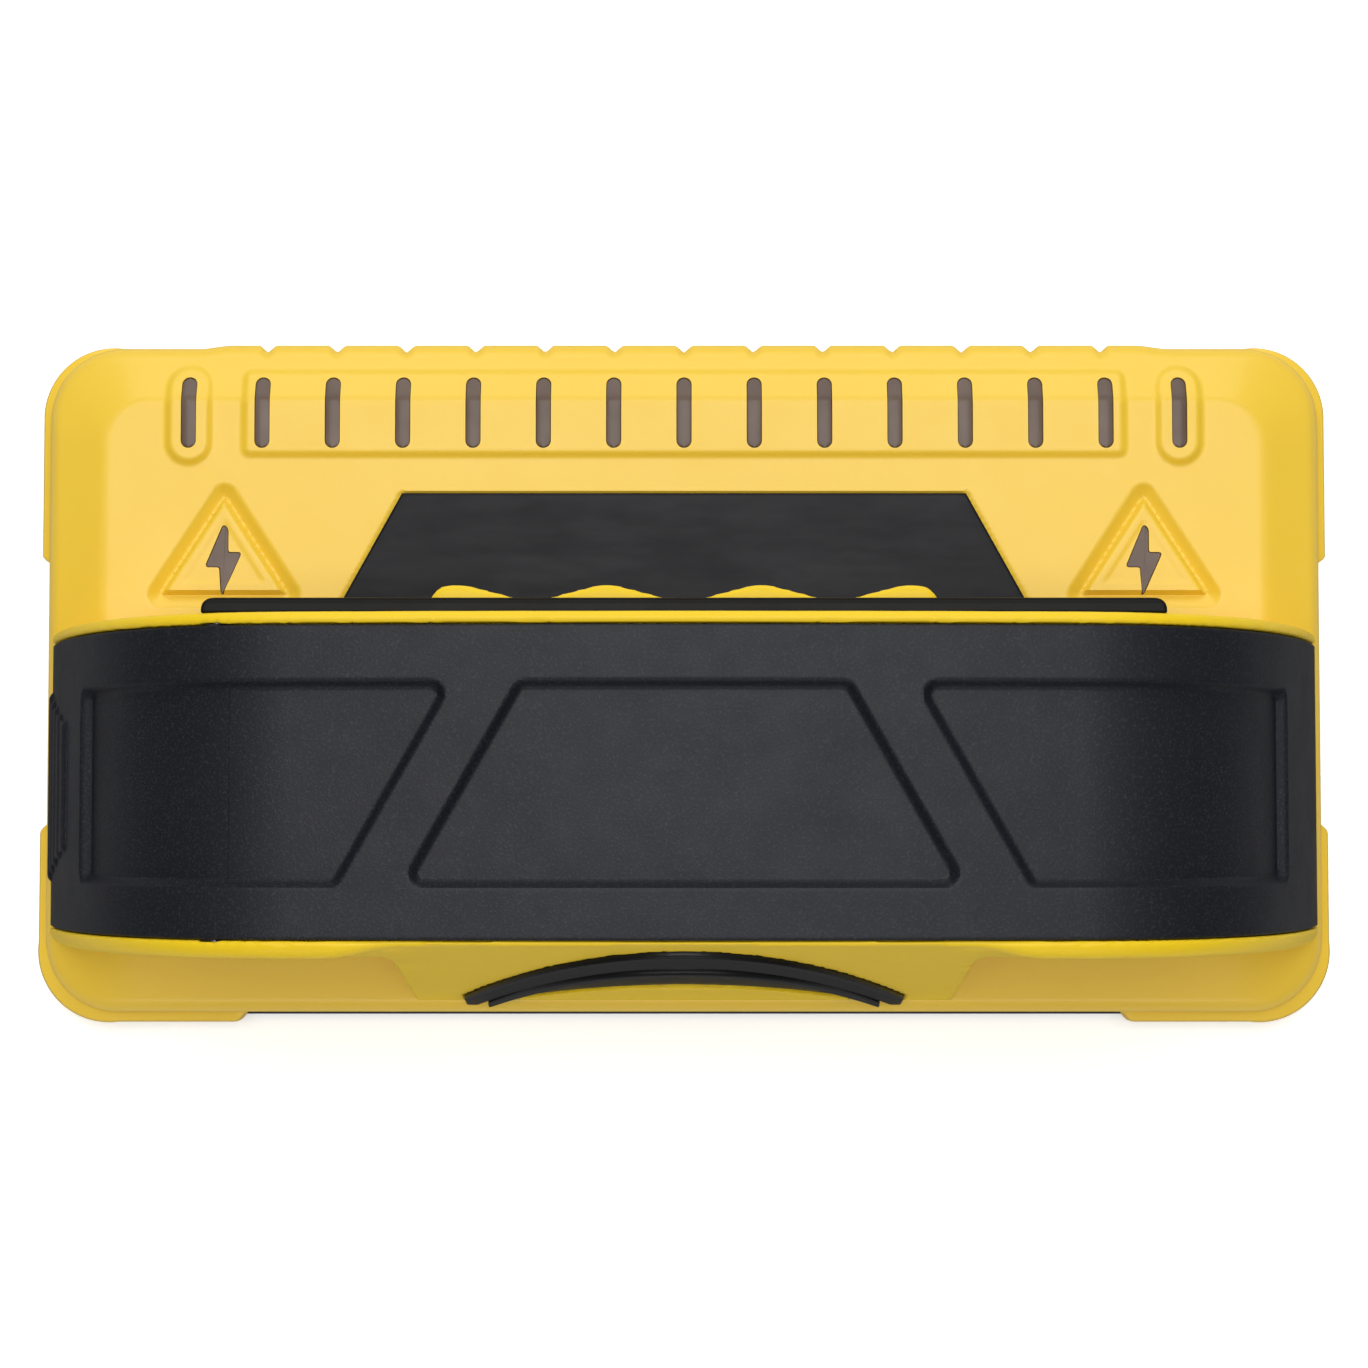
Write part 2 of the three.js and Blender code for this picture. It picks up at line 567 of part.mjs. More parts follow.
function doorLatch() {
  let pad = archSkin(-LATCH.proud, COVER.thickness, -FAR, FAR)
    .intersect(latchPrism(0, -FAR, -LEG_HOLLOW.innerX))
    .subtract(underTop(GAP + LATCH_TRAVEL * PLATEAU.slope));
  const pitch = (LATCH.highZ - LATCH.lowZ) / LATCH.ribs;
  const rib = archSkin(-2, -LATCH.proud / 3, -FAR, FAR);
  for (let i = 1; i < LATCH.ribs; i += 1) {
    const z = LATCH.lowZ + i * pitch;
    pad = pad.subtract(rib.intersect(box(-FAR, 0, -FAR, FAR, z - 0.5, z + 0.5)));
  }
  return pad;
}

add('wall_plate', alongZ(
  roundRect(-PLATE.halfX, PLATE.halfX, -PLATE.halfY, PLATE.halfY, PLATE.radius),
  0,
  PLATE.top,
), softRubber());
add('back_shell', backShell(), yellowPlastic());
add('front_shell', frontShell(), yellowPlastic());
add('finger_well_liner', alongZ(linerShape(0), LINER.top - LINER.depth, LINER.top), blackPlastic());
add('handle_body', handleBody(), yellowPlastic());
add('grip_cover', gripCover(), blackPlastic());
add('battery_door', batteryDoor(), blackPlastic());
add('door_latch', doorLatch(), blackPlastic());
add('door_hinge_pin', rodAlongY(HINGE.pin, PIN.startY, PIN.endY, COVER.seamX, hingeZ, 12), steel());
add('finger_strip', alongX(
  roundRect(STRIP.bottomY, STRIP.topY, STRIP.bottom, STRIP.top, 0.8),
  -STRIP.halfX,
  STRIP.halfX,
  2,
), softRubber());

// ---- thumb switch -------------------------------------------------------------------------------

function thumbBezel() {
  return crescent(BEZEL, 0)
    .subtract(crescent(BUTTON, GAP))
    .intersect(faceSlab(BEZEL.depth, BEZEL.proud))
    .subtract(underTop(GAP));
}

function thumbButton() {
  const { crownZ, height, endX, depth } = BUTTON_SLOT;
  const slot = underParabola(crownZ, BUTTON.halfX, -FAR, 0)
    .subtract(underParabola(crownZ - height, BUTTON.halfX, -FAR - 1, 1))
    .intersect(box(-endX, endX, -FAR, FAR, 0, FAR))
    .intersect(faceSlab(depth - BUTTON.proud, 5));
  const rise = BUTTON.travel * (PLATEAU.slope + BRIDGE.lean); // the base climbs towards a pressed button
  return crescent(BUTTON, 0)
    .intersect(faceSlab(BUTTON.depth, BUTTON.proud))
    .subtract(slot)
    .subtract(underTop(GAP + rise));
}

const slabBehind = ({ half, near, far }) => behindButton(box(-half, half, -half, half, near, far));

add('thumb_bezel', thumbBezel(), glossBlack());
add('thumb_button', thumbButton(), blackPlastic());
add('switch_plunger', behindButton(rod(PLUNGER.radius, PLUNGER.front, PLUNGER.back, 12)), chipBlack());
add('tact_switch', slabBehind(TACT_SWITCH), chipBlack());
add('switch_board', slabBehind(SWITCH_BOARD), boardGreen());

// ---- light pipes ----------------------------------------------------------------------------------

// A window bar from the given foot up to the raised surface.
function windowBar(x) {
  return alongZ(windowSlot(x, 0.25), WINDOW.foot, FAR, 2).intersect(underTop(RAISED - 0.1));
}

add('light_pipe', joined([
  box(-61.5, 61.5, 35, 42.5, WINDOW.foot, WINDOW.flange),
  ...lightPositions.map(windowBar),
]), smokedLens());
for (const [side, name] of [[-1, 'left'], [1, 'right']]) {
  const x = side * EDGE_WINDOW_X;
  const edge = windowBar(x).add(box(x - 2.6, x + 2.6, 35, 42.5, WINDOW.foot, WINDOW.flange));
  add(`edge_window_${name}`, edge, smokedLens());
  const signX = side * SIGN.x;
  const sign = alongZ(bolt(signX, -0.25), 10.5, FRONT.plateau - 0.2)
    .add(box(signX - 4, signX + 4, 11, 23, 10, FRONT.ceiling - GAP));
  add(`bolt_window_${name}`, sign, smokedLens());
}

// ---- electronics -----------------------------------------------------------------------------------

function sensorBoard() {
  const { halfX, bottomY, topY, bottom, top, copper } = BOARD;
  const board = box(-halfX, halfX, bottomY, topY, bottom, top);
  const electrodes = lightPositions.map((x) => box(x - 3.6, x + 3.6, -28, 30, bottom - copper, bottom + 0.5));
  return joined([board, ...electrodes]);
}

const onBoard = (x, y, sizeX, sizeY, height) => box(
  x - sizeX / 2,
  x + sizeX / 2,
  y - sizeY / 2,
  y + sizeY / 2,
  BOARD.top + 0.05,
  BOARD.top + 0.05 + height,
);
const LED_Y = 38.5;
const led = (x, y) => onBoard(x, y, 3.2, 2.8, 1.4);

add('sensor_board', sensorBoard(), boardGreen());
add('controller_chip', onBoard(0, 6, 12, 12, 1.6), chipBlack());
add('amplifier_chip', onBoard(-32, 6, 8.6, 6.2, 1.5), chipBlack());
add('board_connector', onBoard(0, -27, 12, 5, 3.8), ledWhite());
add('buzzer', rod(5.8, BOARD.top + 0.05, BOARD.top + 4.4, 24).translate([44, -12, 0]), chipBlack());
lightPositions.forEach((x, i) => {
  add(`led_${String(i + 1).padStart(2, '0')}`, led(x, LED_Y), ledWhite());
});
for (const [side, name] of [[-1, 'left'], [1, 'right']]) {
  add(`led_edge_${name}`, led(side * EDGE_WINDOW_X, LED_Y), ledWhite());
  add(`led_bolt_${name}`, led(side * SIGN.x, 17), ledWhite());
}

// ---- cells and contacts ----------------------------------------------------------------------------

// One cell lying along X, its nub towards the given side.
function cell(y, side) {
  const { radius, body, nub, startX, z } = CELL;
  const half = body / 2;
  const profile = [[0, -half], [radius - 0.6, -half], [radius, -half + 0.6], [radius, half - 0.6],
    [radius - 0.6, half], [2.7, half], [2.7, half + nub], [0, half + nub]];
  return turned(profile, 24).rotate([0, side * 90, 0]).translate([startX + half + (side < 0 ? nub : 0), y, z]);
}

const cellY = [CELL.y - CELL.pitch / 2, CELL.y + CELL.pitch / 2];
const cellEnd = CELL.startX + CELL.body + CELL.nub;
add('battery_cell_1', cell(cellY[0], 1), cellJacket());
add('battery_cell_2', cell(cellY[1], -1), cellJacket());
cellY.forEach((y, i) => {
  add(`end_contact_${i + 1}`, box(cellEnd + GAP, cellEnd + GAP + 0.4, y - 4.5, y + 4.5, 39, 50), steel());
});

// Bridging contact on the door: a plate with one short spring coil for each cell.
const bridgePlate = box(-63.9, -63.4, CELL.y - 12.5, CELL.y + 12.5, 40, 47.4);
const coils = cellY.map((y) => rod(2.6, 0, 5.6, 14).rotate([0, 90, 0]).translate([-63.6, y, 43.5]));
add('door_contact', joined([bridgePlate, ...coils]), steel());

// ---- screws -------------------------------------------------------------------------------------------

screwSpots.forEach(([x, y], i) => {
  const { head, shaft, top } = CASE_SCREW;
  const low = BACK.bottom + 0.1;
  const screw = turned([[0, low], [head, low], [head, low + 1.2], [shaft, low + 1.5], [shaft, top], [0, top]], 12);
  add(`case_screw_${i + 1}`, screw.translate([x, y, 0]), steel());
});
legScrewSpots.forEach(([x, y], i) => {
  const { head, shaft, bottom, top } = LEG_SCREW;
  const seat = FRONT.ceiling - 0.1;
  const screw = turned([[0, bottom], [head, bottom], [head, seat], [shaft, seat], [shaft, top], [0, top]], 12);
  add(`handle_screw_${i + 1}`, screw.translate([x, y, 0]), steel());
});

export default tool;
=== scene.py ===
"""Looks of the stud finder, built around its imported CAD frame. Lengths in this script are in millimetres
until a mesh is made, and the frame and every Blender object are in metres."""

import json
import math

import bmesh
import bpy
import numpy as np
import openvdb
from mathutils import Matrix, Vector


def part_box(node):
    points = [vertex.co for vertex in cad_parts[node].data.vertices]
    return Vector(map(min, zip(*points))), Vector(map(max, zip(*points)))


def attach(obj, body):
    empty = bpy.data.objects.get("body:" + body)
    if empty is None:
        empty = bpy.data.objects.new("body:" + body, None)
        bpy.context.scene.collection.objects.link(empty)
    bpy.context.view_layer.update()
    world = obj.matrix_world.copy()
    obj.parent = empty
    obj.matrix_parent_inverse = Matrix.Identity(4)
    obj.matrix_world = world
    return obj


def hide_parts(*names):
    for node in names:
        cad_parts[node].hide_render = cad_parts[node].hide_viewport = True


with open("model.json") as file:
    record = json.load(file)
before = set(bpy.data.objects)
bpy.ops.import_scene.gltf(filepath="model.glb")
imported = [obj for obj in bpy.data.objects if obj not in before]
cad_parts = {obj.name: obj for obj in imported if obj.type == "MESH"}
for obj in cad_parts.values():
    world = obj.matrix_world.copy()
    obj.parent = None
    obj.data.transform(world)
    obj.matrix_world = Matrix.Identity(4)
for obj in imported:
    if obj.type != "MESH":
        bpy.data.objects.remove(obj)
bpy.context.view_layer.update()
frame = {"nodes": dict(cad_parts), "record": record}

MM = 0.001
CLEARANCE = 0.15  # visible seam between neighbouring shells


def box_mm(node):
    """Lowest and highest corner of a CAD node, in millimetres."""
    low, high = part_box(node)
    return np.array(low) / MM, np.array(high) / MM


# ---- driving dimensions, taken from the frame where a node shows them ----

WALL_LOW, WALL_HIGH = box_mm("wall_plate")
BACK_LOW, BACK_HIGH = box_mm("back_shell")
FRONT_LOW, FRONT_HIGH = box_mm("front_shell")
LINER_LOW, LINER_HIGH = box_mm("finger_well_liner")
HANDLE_LOW, HANDLE_HIGH = box_mm("handle_body")
COVER_LOW, COVER_HIGH = box_mm("grip_cover")
STRIP_LOW, STRIP_HIGH = box_mm("finger_strip")
PIN_LOW, PIN_HIGH = box_mm("door_hinge_pin")

SHELL_HALF_X = FRONT_HIGH[0]
SHELL_BOTTOM_Y = FRONT_LOW[1]
SHELL_TOP_Y = 48.2
SHELL_RADIUS, PLATE_RADIUS = 10.0, 8.5
SHELL_CORNERS = (-SHELL_HALF_X, SHELL_BOTTOM_Y), (SHELL_HALF_X, SHELL_TOP_Y)
RULER_HALF_X, RULER_TOP_Y = 67.0, FRONT_HIGH[1]
NOTCH_HALF_X, NOTCH_DEPTH = 1.15, 1.05
BUMPER_X, BUMPER_TOP_Y, BUMPER_LOW_Y = 62.6, 16.8, -19.4  # where the corner bumpers start
EDGE_ROUND = 2.0

PLATEAU_Z = 14.2
PLATEAU_HALF_X, PLATEAU_LOW_Y, PLATEAU_HIGH_Y = 82.7, -37.8, 40.05
PLATEAU_RADIUS = 6.5
BORDER_SLOPE = 0.42
RAISED = FRONT_HIGH[2] - PLATEAU_Z

LIGHT_X = [10.0 * i for i in range(-6, 7)]
EDGE_LIGHT_X = 70.45
WINDOW_LOW_Y, WINDOW_HIGH_Y, WINDOW_WIDTH = 33.1, 43.4, 2.16
BAND_HALF_X, BAND_LOW_Y, BAND_HIGH_Y = 63.1, 31.7, 44.8
PAD_HALF_X, PAD_LOW_Y, PAD_HIGH_Y, PAD_RISE = 3.45, 30.6, 45.4, 1.2
SIGN_X, SIGN_APEX_Y, SIGN_BASE_Y, SIGN_HALF = 65.4, 29.9, 10.3, 12.7
SIGN_RADIUS, GROOVE_DEPTH, SEAT_DEPTH = 2.0, 1.0, 0.45
HOLE_LOW_Z, HOLE_HIGH_Z = 5, 20

ARCH_SHOULDER = (50.0, 55.8)
ARCH_CROWN_Z = HANDLE_HIGH[2]
ARCH_SIDE = ((50.0, 55.8), (72.0, 54.5), (84.0, 34.0), (90.5, 10.0))
RIM_LOW_Y, RIM_HIGH_Y = -37.3, 6.85
COVER_THICKNESS = 2.0
SEAM_X = (PIN_LOW[0] + PIN_HIGH[0]) / 2
PIN_Z = (PIN_LOW[2] + PIN_HIGH[2]) / 2
GAP_HALF_X, GAP_TOP_Z, GAP_RADIUS = 69.7, 35.5, 11.0  # the finger gap, seen along Y
RIDGE_INNER_X, RIDGE_OUTER_X, RIDGE_HALF_X = 10.1, 29.6, 33.6
RIDGE_TOP_Y, RIDGE_FOOT_Y, RIDGE_SLOPE = 11.4, 8.6, 0.27
RIDGE_LOW_Z, RIDGE_HIGH_Z = 36.3, 46.5
BAY_Y, BAY_FLOOR_Z, BAY_END_X, BAY_MOUTH_X = (-30.6, 0.2), 36.8, -6.1, -38
ROOM_X, ROOM_Y, ROOM_Z = (-4.5, 58), (-32, 2), (36.8, 51.5)  # beside the cells
WELL_HALF_X, WELL_TOP_Y, WELL_TOP_Z, BRIDGE_WALL = 36.2, -27.8, 37.8, 5.0
LEG_X, LEG_HALF_X, LEG_Y, LEG_TOP_Z = 78.5, 4.5, (-24.5, -6), 32  # hollow of each leg
LATCH_Y, LATCH_Z, LATCH_MIDDLE_Y = (-29.2, -0.9), (12.4, 27.4), -15.05
BRIDGE_HALF_X = 38.2
BRIDGE_TOP = (-35.3, 57.0)  # Y and Z where the leaning face starts
BRIDGE_BACK_Y = -25.8
JOINTS = {joint["name"]: joint for joint in frame["record"]["behaviour"]["joints"]}
PRESS = JOINTS["thumb_press"]["axis"]
BRIDGE_LEAN = -PRESS[2] / PRESS[1]
LATCH_TRAVEL = JOINTS["latch_press"]["range_m"][1] / MM


# ---- distance fields ----
# A field is negative inside. Its arguments are numbers or arrays that broadcast together.

def both(a, b, radius=0.0):
    """Where a and b overlap, with the outer edge rounded."""
    u = np.maximum(a + radius, 0)
    v = np.maximum(b + radius, 0)
    return np.minimum(-radius, np.maximum(a, b)) + np.hypot(u, v)


def either(a, b, radius=0.0):
    """a joined with b, with a fillet in the inner corner."""
    return -both(-a, -b, radius)


def cut(a, b, radius=0.0):
    """a without b, with the new edge rounded."""
    return both(a, -b, radius)


def slab(value, low, high):
    return np.maximum(low - value, value - high)


def rounded_rect(x, y, low, high, radius):
    """Field of a rectangle with round corners; low and high are (x, y)."""
    dx = np.abs(x - (low[0] + high[0]) / 2) - (high[0] - low[0]) / 2 + radius
    dy = np.abs(y - (low[1] + high[1]) / 2) - (high[1] - low[1]) / 2 + radius
    outside = np.hypot(np.maximum(dx, 0), np.maximum(dy, 0))
    return outside + np.minimum(np.maximum(dx, dy), 0) - radius


def polygon_field(x, y, corners):
    """Field of a closed polygon given by its corners."""
    inside = np.ones(np.broadcast(x, y).shape, bool)
    nearest = np.full(inside.shape, 1e9)
    crossings = np.zeros(inside.shape, int)
    for (ax, ay), (bx, by) in zip(corners, corners[1:] + corners[:1]):
        ex, ey = bx - ax, by - ay
        wx, wy = x - ax, y - ay
        t = np.clip((wx * ex + wy * ey) / (ex * ex + ey * ey), 0, 1)
        nearest = np.minimum(nearest, np.hypot(wx - ex * t, wy - ey * t))
        straddles = (ay > y) != (by > y)
        side = wx * ey - wy * ex
        crossings += straddles & ((side < 0) == (ey > 0))
    return np.where(crossings % 2 == 1, -nearest, nearest)


def inset(corners, distance):
    """A convex anticlockwise polygon with every side moved inwards."""
    moved = []
    count = len(corners)
    for i in range(count):
        before, here, after = (np.array(corners[(i + k) % count], float) for k in (-1, 0, 1))
        d1 = (here - before) / np.linalg.norm(here - before)
        d2 = (after - here) / np.linalg.norm(after - here)
        n1 = np.array((-d1[1], d1[0]))
        n2 = np.array((-d2[1], d2[0]))
        moved.append(tuple(here + (n1 + n2) * distance / (1 + n1 @ n2)))
    return moved


def round_polygon(x, y, corners, radius):
    return polygon_field(x, y, inset(corners, radius)) - radius


def ease(t):
    t = np.clip(t, 0, 1)
    return t * t * (3 - 2 * t)


def wall(t, soft=0.12):
    """A straight wall from 0 to 1 with a small radius at its foot and at its top."""
    t = np.clip(t, 0, 1)
    low = t * t / (2 * soft)
    high = 1 - soft - (1 - t) ** 2 / (2 * soft)
    middle = t - soft / 2
    return np.where(t < soft, low, np.where(t > 1 - soft, high, middle)) / (1 - soft)


# ---- the arch of the handle ----

def arch_outline(samples=120):
    """Right half of the arch in X and Z, from the crown down to the base, evenly dense."""
    sx, sz = ARCH_SHOULDER
    t = np.linspace(0, 1, samples)
    crown = np.stack([sx * t, ARCH_CROWN_Z - (ARCH_CROWN_Z - sz) * t**2], 1)
    p = np.array(ARCH_SIDE)
    t = t[:, None]
    side = (1 - t) ** 3 * p[0] + 3 * (1 - t) ** 2 * t * p[1] + 3 * (1 - t) * t**2 * p[2] + t**3 * p[3]
    foot = side[-1] + np.outer([3, 6, 9], (side[-1] - side[-2]) / np.linalg.norm(side[-1] - side[-2]))
    return np.concatenate([crown, side[1:], foot])


ARCH = arch_outline()
ARCH_LENGTH = np.concatenate([[0], np.cumsum(np.linalg.norm(np.diff(ARCH, axis=0), axis=1))])
_slope = np.gradient(ARCH, ARCH_LENGTH, axis=0)
ARCH_NORMAL = np.stack([-_slope[:, 1], _slope[:, 0]], 1)
ARCH_NORMAL /= np.linalg.norm(ARCH_NORMAL, axis=1)[:, None]


def arch_point(s, lift):
    """X and Z at distance s along the arch from its crown, lifted off its surface."""
    sign = np.sign(s) + (s == 0)
    a = np.abs(s)
    x, z = (np.interp(a, ARCH_LENGTH, ARCH[:, k]) for k in (0, 1))
    nx, nz = (np.interp(a, ARCH_LENGTH, ARCH_NORMAL[:, k]) for k in (0, 1))
    return sign * (x + nx * lift), z + nz * lift


def arch_length_at_z(z):
    """Distance along the arch from its crown down to a height."""
    return float(np.interp(-z, -ARCH[:, 1], ARCH_LENGTH))


def arch_field(x, z):
    """Distance to the outside of the arch, as if it were solid down to the base."""
    x, z = np.broadcast_arrays(np.abs(x), z)
    nearest = np.full(x.shape, 1e9, np.float32)
    step = 5
    coarse = np.vstack([ARCH[:-1:step], ARCH[-1]])
    for (ax, az), (bx, bz) in zip(coarse, coarse[1:]):
        ex, ez = bx - ax, bz - az
        t = np.clip(((x - ax) * ex + (z - az) * ez) / (ex * ex + ez * ez), 0, 1)
        nearest = np.minimum(nearest, np.hypot(x - ax - ex * t, z - az - ez * t))
    inside = z < np.interp(x, coarse[:, 0], coarse[:, 1], right=-1e3)
    return np.where(inside, -nearest, nearest)


def base_height(x, y):
    """Height of the base's top: the plateau and the border that slopes down from it."""
    d = rounded_rect(x, y, (-PLATEAU_HALF_X, PLATEAU_LOW_Y), (PLATEAU_HALF_X, PLATEAU_HIGH_Y), PLATEAU_RADIUS)
    soft = 0.7
    drop = np.where(d > soft, d, np.where(d > -soft, (d + soft) ** 2 / (4 * soft), 0))
    return PLATEAU_Z - BORDER_SLOPE * drop


# ---- meshes ----

def make_object(name, points, faces, material, sharp=None):
    """A shaded mesh object from points in millimetres."""
    mesh = bpy.data.meshes.new(name)
    mesh.from_pydata((np.asarray(points, float) * MM).tolist(), [], [list(f) for f in faces])
    mesh.validate()
    mesh.shade_smooth()
    if sharp is not None:
        mesh.set_sharp_from_angle(angle=math.radians(sharp))
    mesh.materials.append(material)
    obj = bpy.data.objects.new(name, mesh)
    bpy.context.scene.collection.objects.link(obj)
    return obj


def settle(obj, body, slot, *nodes):
    """Rides on a body and stands for CAD nodes; its finish slot argument is not used."""
    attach(obj, body)
    if nodes:
        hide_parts(*nodes)
    return obj


def field_mesh(name, field, low, high, voxel, material, adaptivity=0.0):
    """Meshes a distance field: a dual mesh from a voxel grid, then every point is moved onto the surface."""
    axes = [np.arange(a - 2 * voxel, b + 3 * voxel, voxel) for a, b in zip(low, high)]
    x, y, z = axes[0][:, None, None], axes[1][None, :, None], axes[2][None, None, :]
    values = np.broadcast_to(field(x, y, z), [len(a) for a in axes])
    values = np.ascontiguousarray(np.clip(values / voxel, -3, 3), dtype=np.float32)
    grid = openvdb.FloatGrid(3.0)
    grid.copyFromArray(values)
    points, triangles, quads = grid.convertToPolygons(isovalue=0.0, adaptivity=adaptivity)
    points = np.array([axes[0][0], axes[1][0], axes[2][0]]) + points.astype(float) * voxel
    nudge = voxel * 0.05
    for _ in range(3):
        here = field(*points.T)
        slope = np.stack([
            (field(*(points + nudge * e).T) - field(*(points - nudge * e).T)) / (2 * nudge)
            for e in np.eye(3)
        ], 1)
        length = np.maximum((slope**2).sum(1), 0.2)
        move = slope * (here / length)[:, None]
        reach = np.linalg.norm(move, axis=1)
        move *= np.minimum(1, 0.5 * voxel / np.maximum(reach, 1e-9))[:, None]
        points = points - move
    faces = [tuple(f[::-1]) for f in quads.tolist()] + [tuple(f[::-1]) for f in triangles.tolist()]
    return make_object(name, points, faces, material)


def grid_quads(rows, columns):
    i, j = np.meshgrid(np.arange(rows - 1), np.arange(columns - 1), indexing="ij")
    a = i * columns + j
    return np.stack([a, a + columns, a + columns + 1, a + 1], -1).reshape(-1, 4)


def ring_quads(ring_a, ring_b):
    """Quads between two closed loops of the same length."""
    a, b = np.asarray(ring_a), np.asarray(ring_b)
    return np.stack([a, np.roll(a, -1), np.roll(b, -1), b], 1)


def grid_border(rows, columns):
    """Indices round the edge of a grid, in order."""
    index = np.arange(rows * columns).reshape(rows, columns)
    return np.concatenate([index[:-1, 0], index[-1, :-1], index[:0:-1, -1], index[0, :0:-1]])


def lines(stops):
    """Grid lines from a list of (start, spacing) with a last (end, None)."""
    found = []
    for (a, spacing), (b, _) in zip(stops, stops[1:]):
        count = max(1, round((b - a) / spacing))
        found.extend(np.linspace(a, b, count, endpoint=False))
    found.append(stops[-1][0])
    return np.array(found)


def loop_solid(name, rings, material, sharp=35, tube=False):
    """A closed solid from loops stacked one over the other: capped at both ends, or joined into a tube."""
    count = len(rings[0])
    points = np.concatenate(rings)
    faces = []
    for k in range(len(rings) - 1):
        a = np.arange(count) + k * count
        faces.extend(ring_quads(a, a + count).tolist())
    last = np.arange(count) + (len(rings) - 1) * count
    if tube:
        faces.extend(ring_quads(last, np.arange(count)).tolist())
    else:
        faces.append(list(range(count))[::-1])
        faces.append(list(last))
    return make_object(name, points, faces, material, sharp)


def subtract(obj, cutter):
    """Cuts the cutter object out of obj and removes it."""
    modifier = obj.modifiers.new("cut", "BOOLEAN")
    modifier.operation = "DIFFERENCE"
    modifier.solver = "MANIFOLD"
    modifier.object = cutter
    depsgraph = bpy.context.evaluated_depsgraph_get()
    mesh = bpy.data.meshes.new_from_object(obj.evaluated_get(depsgraph))
    obj.modifiers.clear()
    obj.data = mesh
    bpy.data.objects.remove(cutter)


def rounded_outline(low, high, radius, spacing=0.6):
    """Evenly spaced anticlockwise points round a rectangle with round corners, with their normals."""
    x0, y0 = low
    x1, y1 = high
    points, normals = [], []
    centres = [(x1 - radius, y0 + radius, -90), (x1 - radius, y1 - radius, 0),
               (x0 + radius, y1 - radius, 90), (x0 + radius, y0 + radius, 180)]
    for k, (cx, cy, start) in enumerate(centres):
        steps = max(6, int(radius * math.pi / 2 / spacing * 1.3))
        for a in np.radians(np.linspace(start, start + 90, steps + 1)):
            points.append((cx + radius * math.cos(a), cy + radius * math.sin(a)))
            normals.append((math.cos(a), math.sin(a)))
        nx, ny, _ = centres[(k + 1) % 4]
        a = math.radians(start + 90)
        end = (nx + radius * math.cos(a), ny + radius * math.sin(a))
        here = points[-1]
        count = int(math.dist(here, end) / spacing)
        for t in np.linspace(0, 1, count + 1)[1:-1]:
            points.append((here[0] + (end[0] - here[0]) * t, here[1] + (end[1] - here[1]) * t))
            normals.append((math.cos(a), math.sin(a)))
    return np.array(points), np.array(normals)


def at_height(points, z):
    return np.column_stack([points, np.full(len(points), z)])


# ---- materials ----

class Nodes:
    """Short names for building a node material."""

    def __init__(self, name):
        self.material = bpy.data.materials.new(name)
        self.material.use_nodes = True
        self.tree = self.material.node_tree
        self.shader = self.tree.nodes["Principled BSDF"]
        self.join = self.tree.links.new
        self.position = self.add("TexCoord").outputs["Object"]

    def add(self, kind):
        return self.tree.nodes.new("ShaderNode" + kind)

    def noise(self, scale, detail=2.0, roughness=0.5, stretch=None):
        node = self.add("TexNoise")
        for key, number in (("Scale", scale), ("Detail", detail), ("Roughness", roughness)):
            node.inputs[key].default_value = number
        source = self.position
        if stretch:
            mapping = self.add("Mapping")
            mapping.inputs["Scale"].default_value = stretch
            self.join(source, mapping.inputs["Vector"])
            source = mapping.outputs["Vector"]
        self.join(source, node.inputs["Vector"])
        return node.outputs["Fac"]

    def spread(self, value, low, high, new_low, new_high):
        node = self.add("MapRange")
        self.join(value, node.inputs["Value"])
        for key, number in zip(("From Min", "From Max", "To Min", "To Max"), (low, high, new_low, new_high)):
            node.inputs[key].default_value = number
        return node.outputs["Result"]

    def ramp(self, value, *stops):
        node = self.add("ValToRGB")
        elements = node.color_ramp.elements
        while len(elements) < len(stops):
            elements.new(0.5)
        for element, (place, colour) in zip(elements, stops):
            element.position = place
            element.color = (*colour, 1)
        self.join(value, node.inputs["Fac"])
        return node.outputs["Color"]

    def mix(self, factor, a, b):
        node = self.add("Mix")
        node.data_type = "RGBA"
        for socket, value in ((node.inputs["Factor"], factor), (node.inputs["A"], a), (node.inputs["B"], b)):
            if isinstance(value, bpy.types.NodeSocket):
                self.join(value, socket)
            elif isinstance(value, tuple):
                socket.default_value = (*value, 1)
            else:
                socket.default_value = value
        return node.outputs["Result"]

    def bump(self, height, strength, distance, after=None):
        node = self.add("Bump")
        node.inputs["Strength"].default_value = strength
        node.inputs["Distance"].default_value = distance * MM
        self.join(height, node.inputs["Height"])
        if after is not None:
            self.join(after, node.inputs["Normal"])
        return node.outputs["Normal"]

    def link(self, output, name):
        self.join(output, self.shader.inputs[name])

    def set(self, **values):
        for name, value in values.items():
            socket = self.shader.inputs[name.replace("_", " ")]
            socket.default_value = (*value, 1) if isinstance(value, tuple) else value


def moulded(name, colour, darker, roughness, grain_mm, grain_depth, specular=0.5, speck=1.0, coat=0.0):
    """Moulded plastic: sparked grain in the surface, paler specks, slow drift in colour, uneven gloss."""
    n = Nodes(name)
    smudge = 0.04
    grain = n.noise(1 / (grain_mm * MM), detail=3, roughness=0.6)
    drift = n.noise(28, detail=3)
    patches = n.noise(140, detail=4, roughness=0.65)
    ground = n.mix(n.spread(drift, 0.3, 0.7, 0, 1), colour, darker)
    paler = tuple(min(1.0, c * speck) for c in colour)
    n.link(n.mix(n.spread(grain, 0.52, 0.72, 0, 1), ground, paler), "Base Color")
    n.link(n.spread(patches, 0.3, 0.7, roughness - smudge, roughness + smudge), "Roughness")
    n.link(n.bump(grain, 0.5, grain_depth, n.bump(drift, 0.25, 0.15)), "Normal")
    n.set(Specular_IOR_Level=specular, Coat_Weight=coat, Coat_Roughness=0.18)
    return n.material


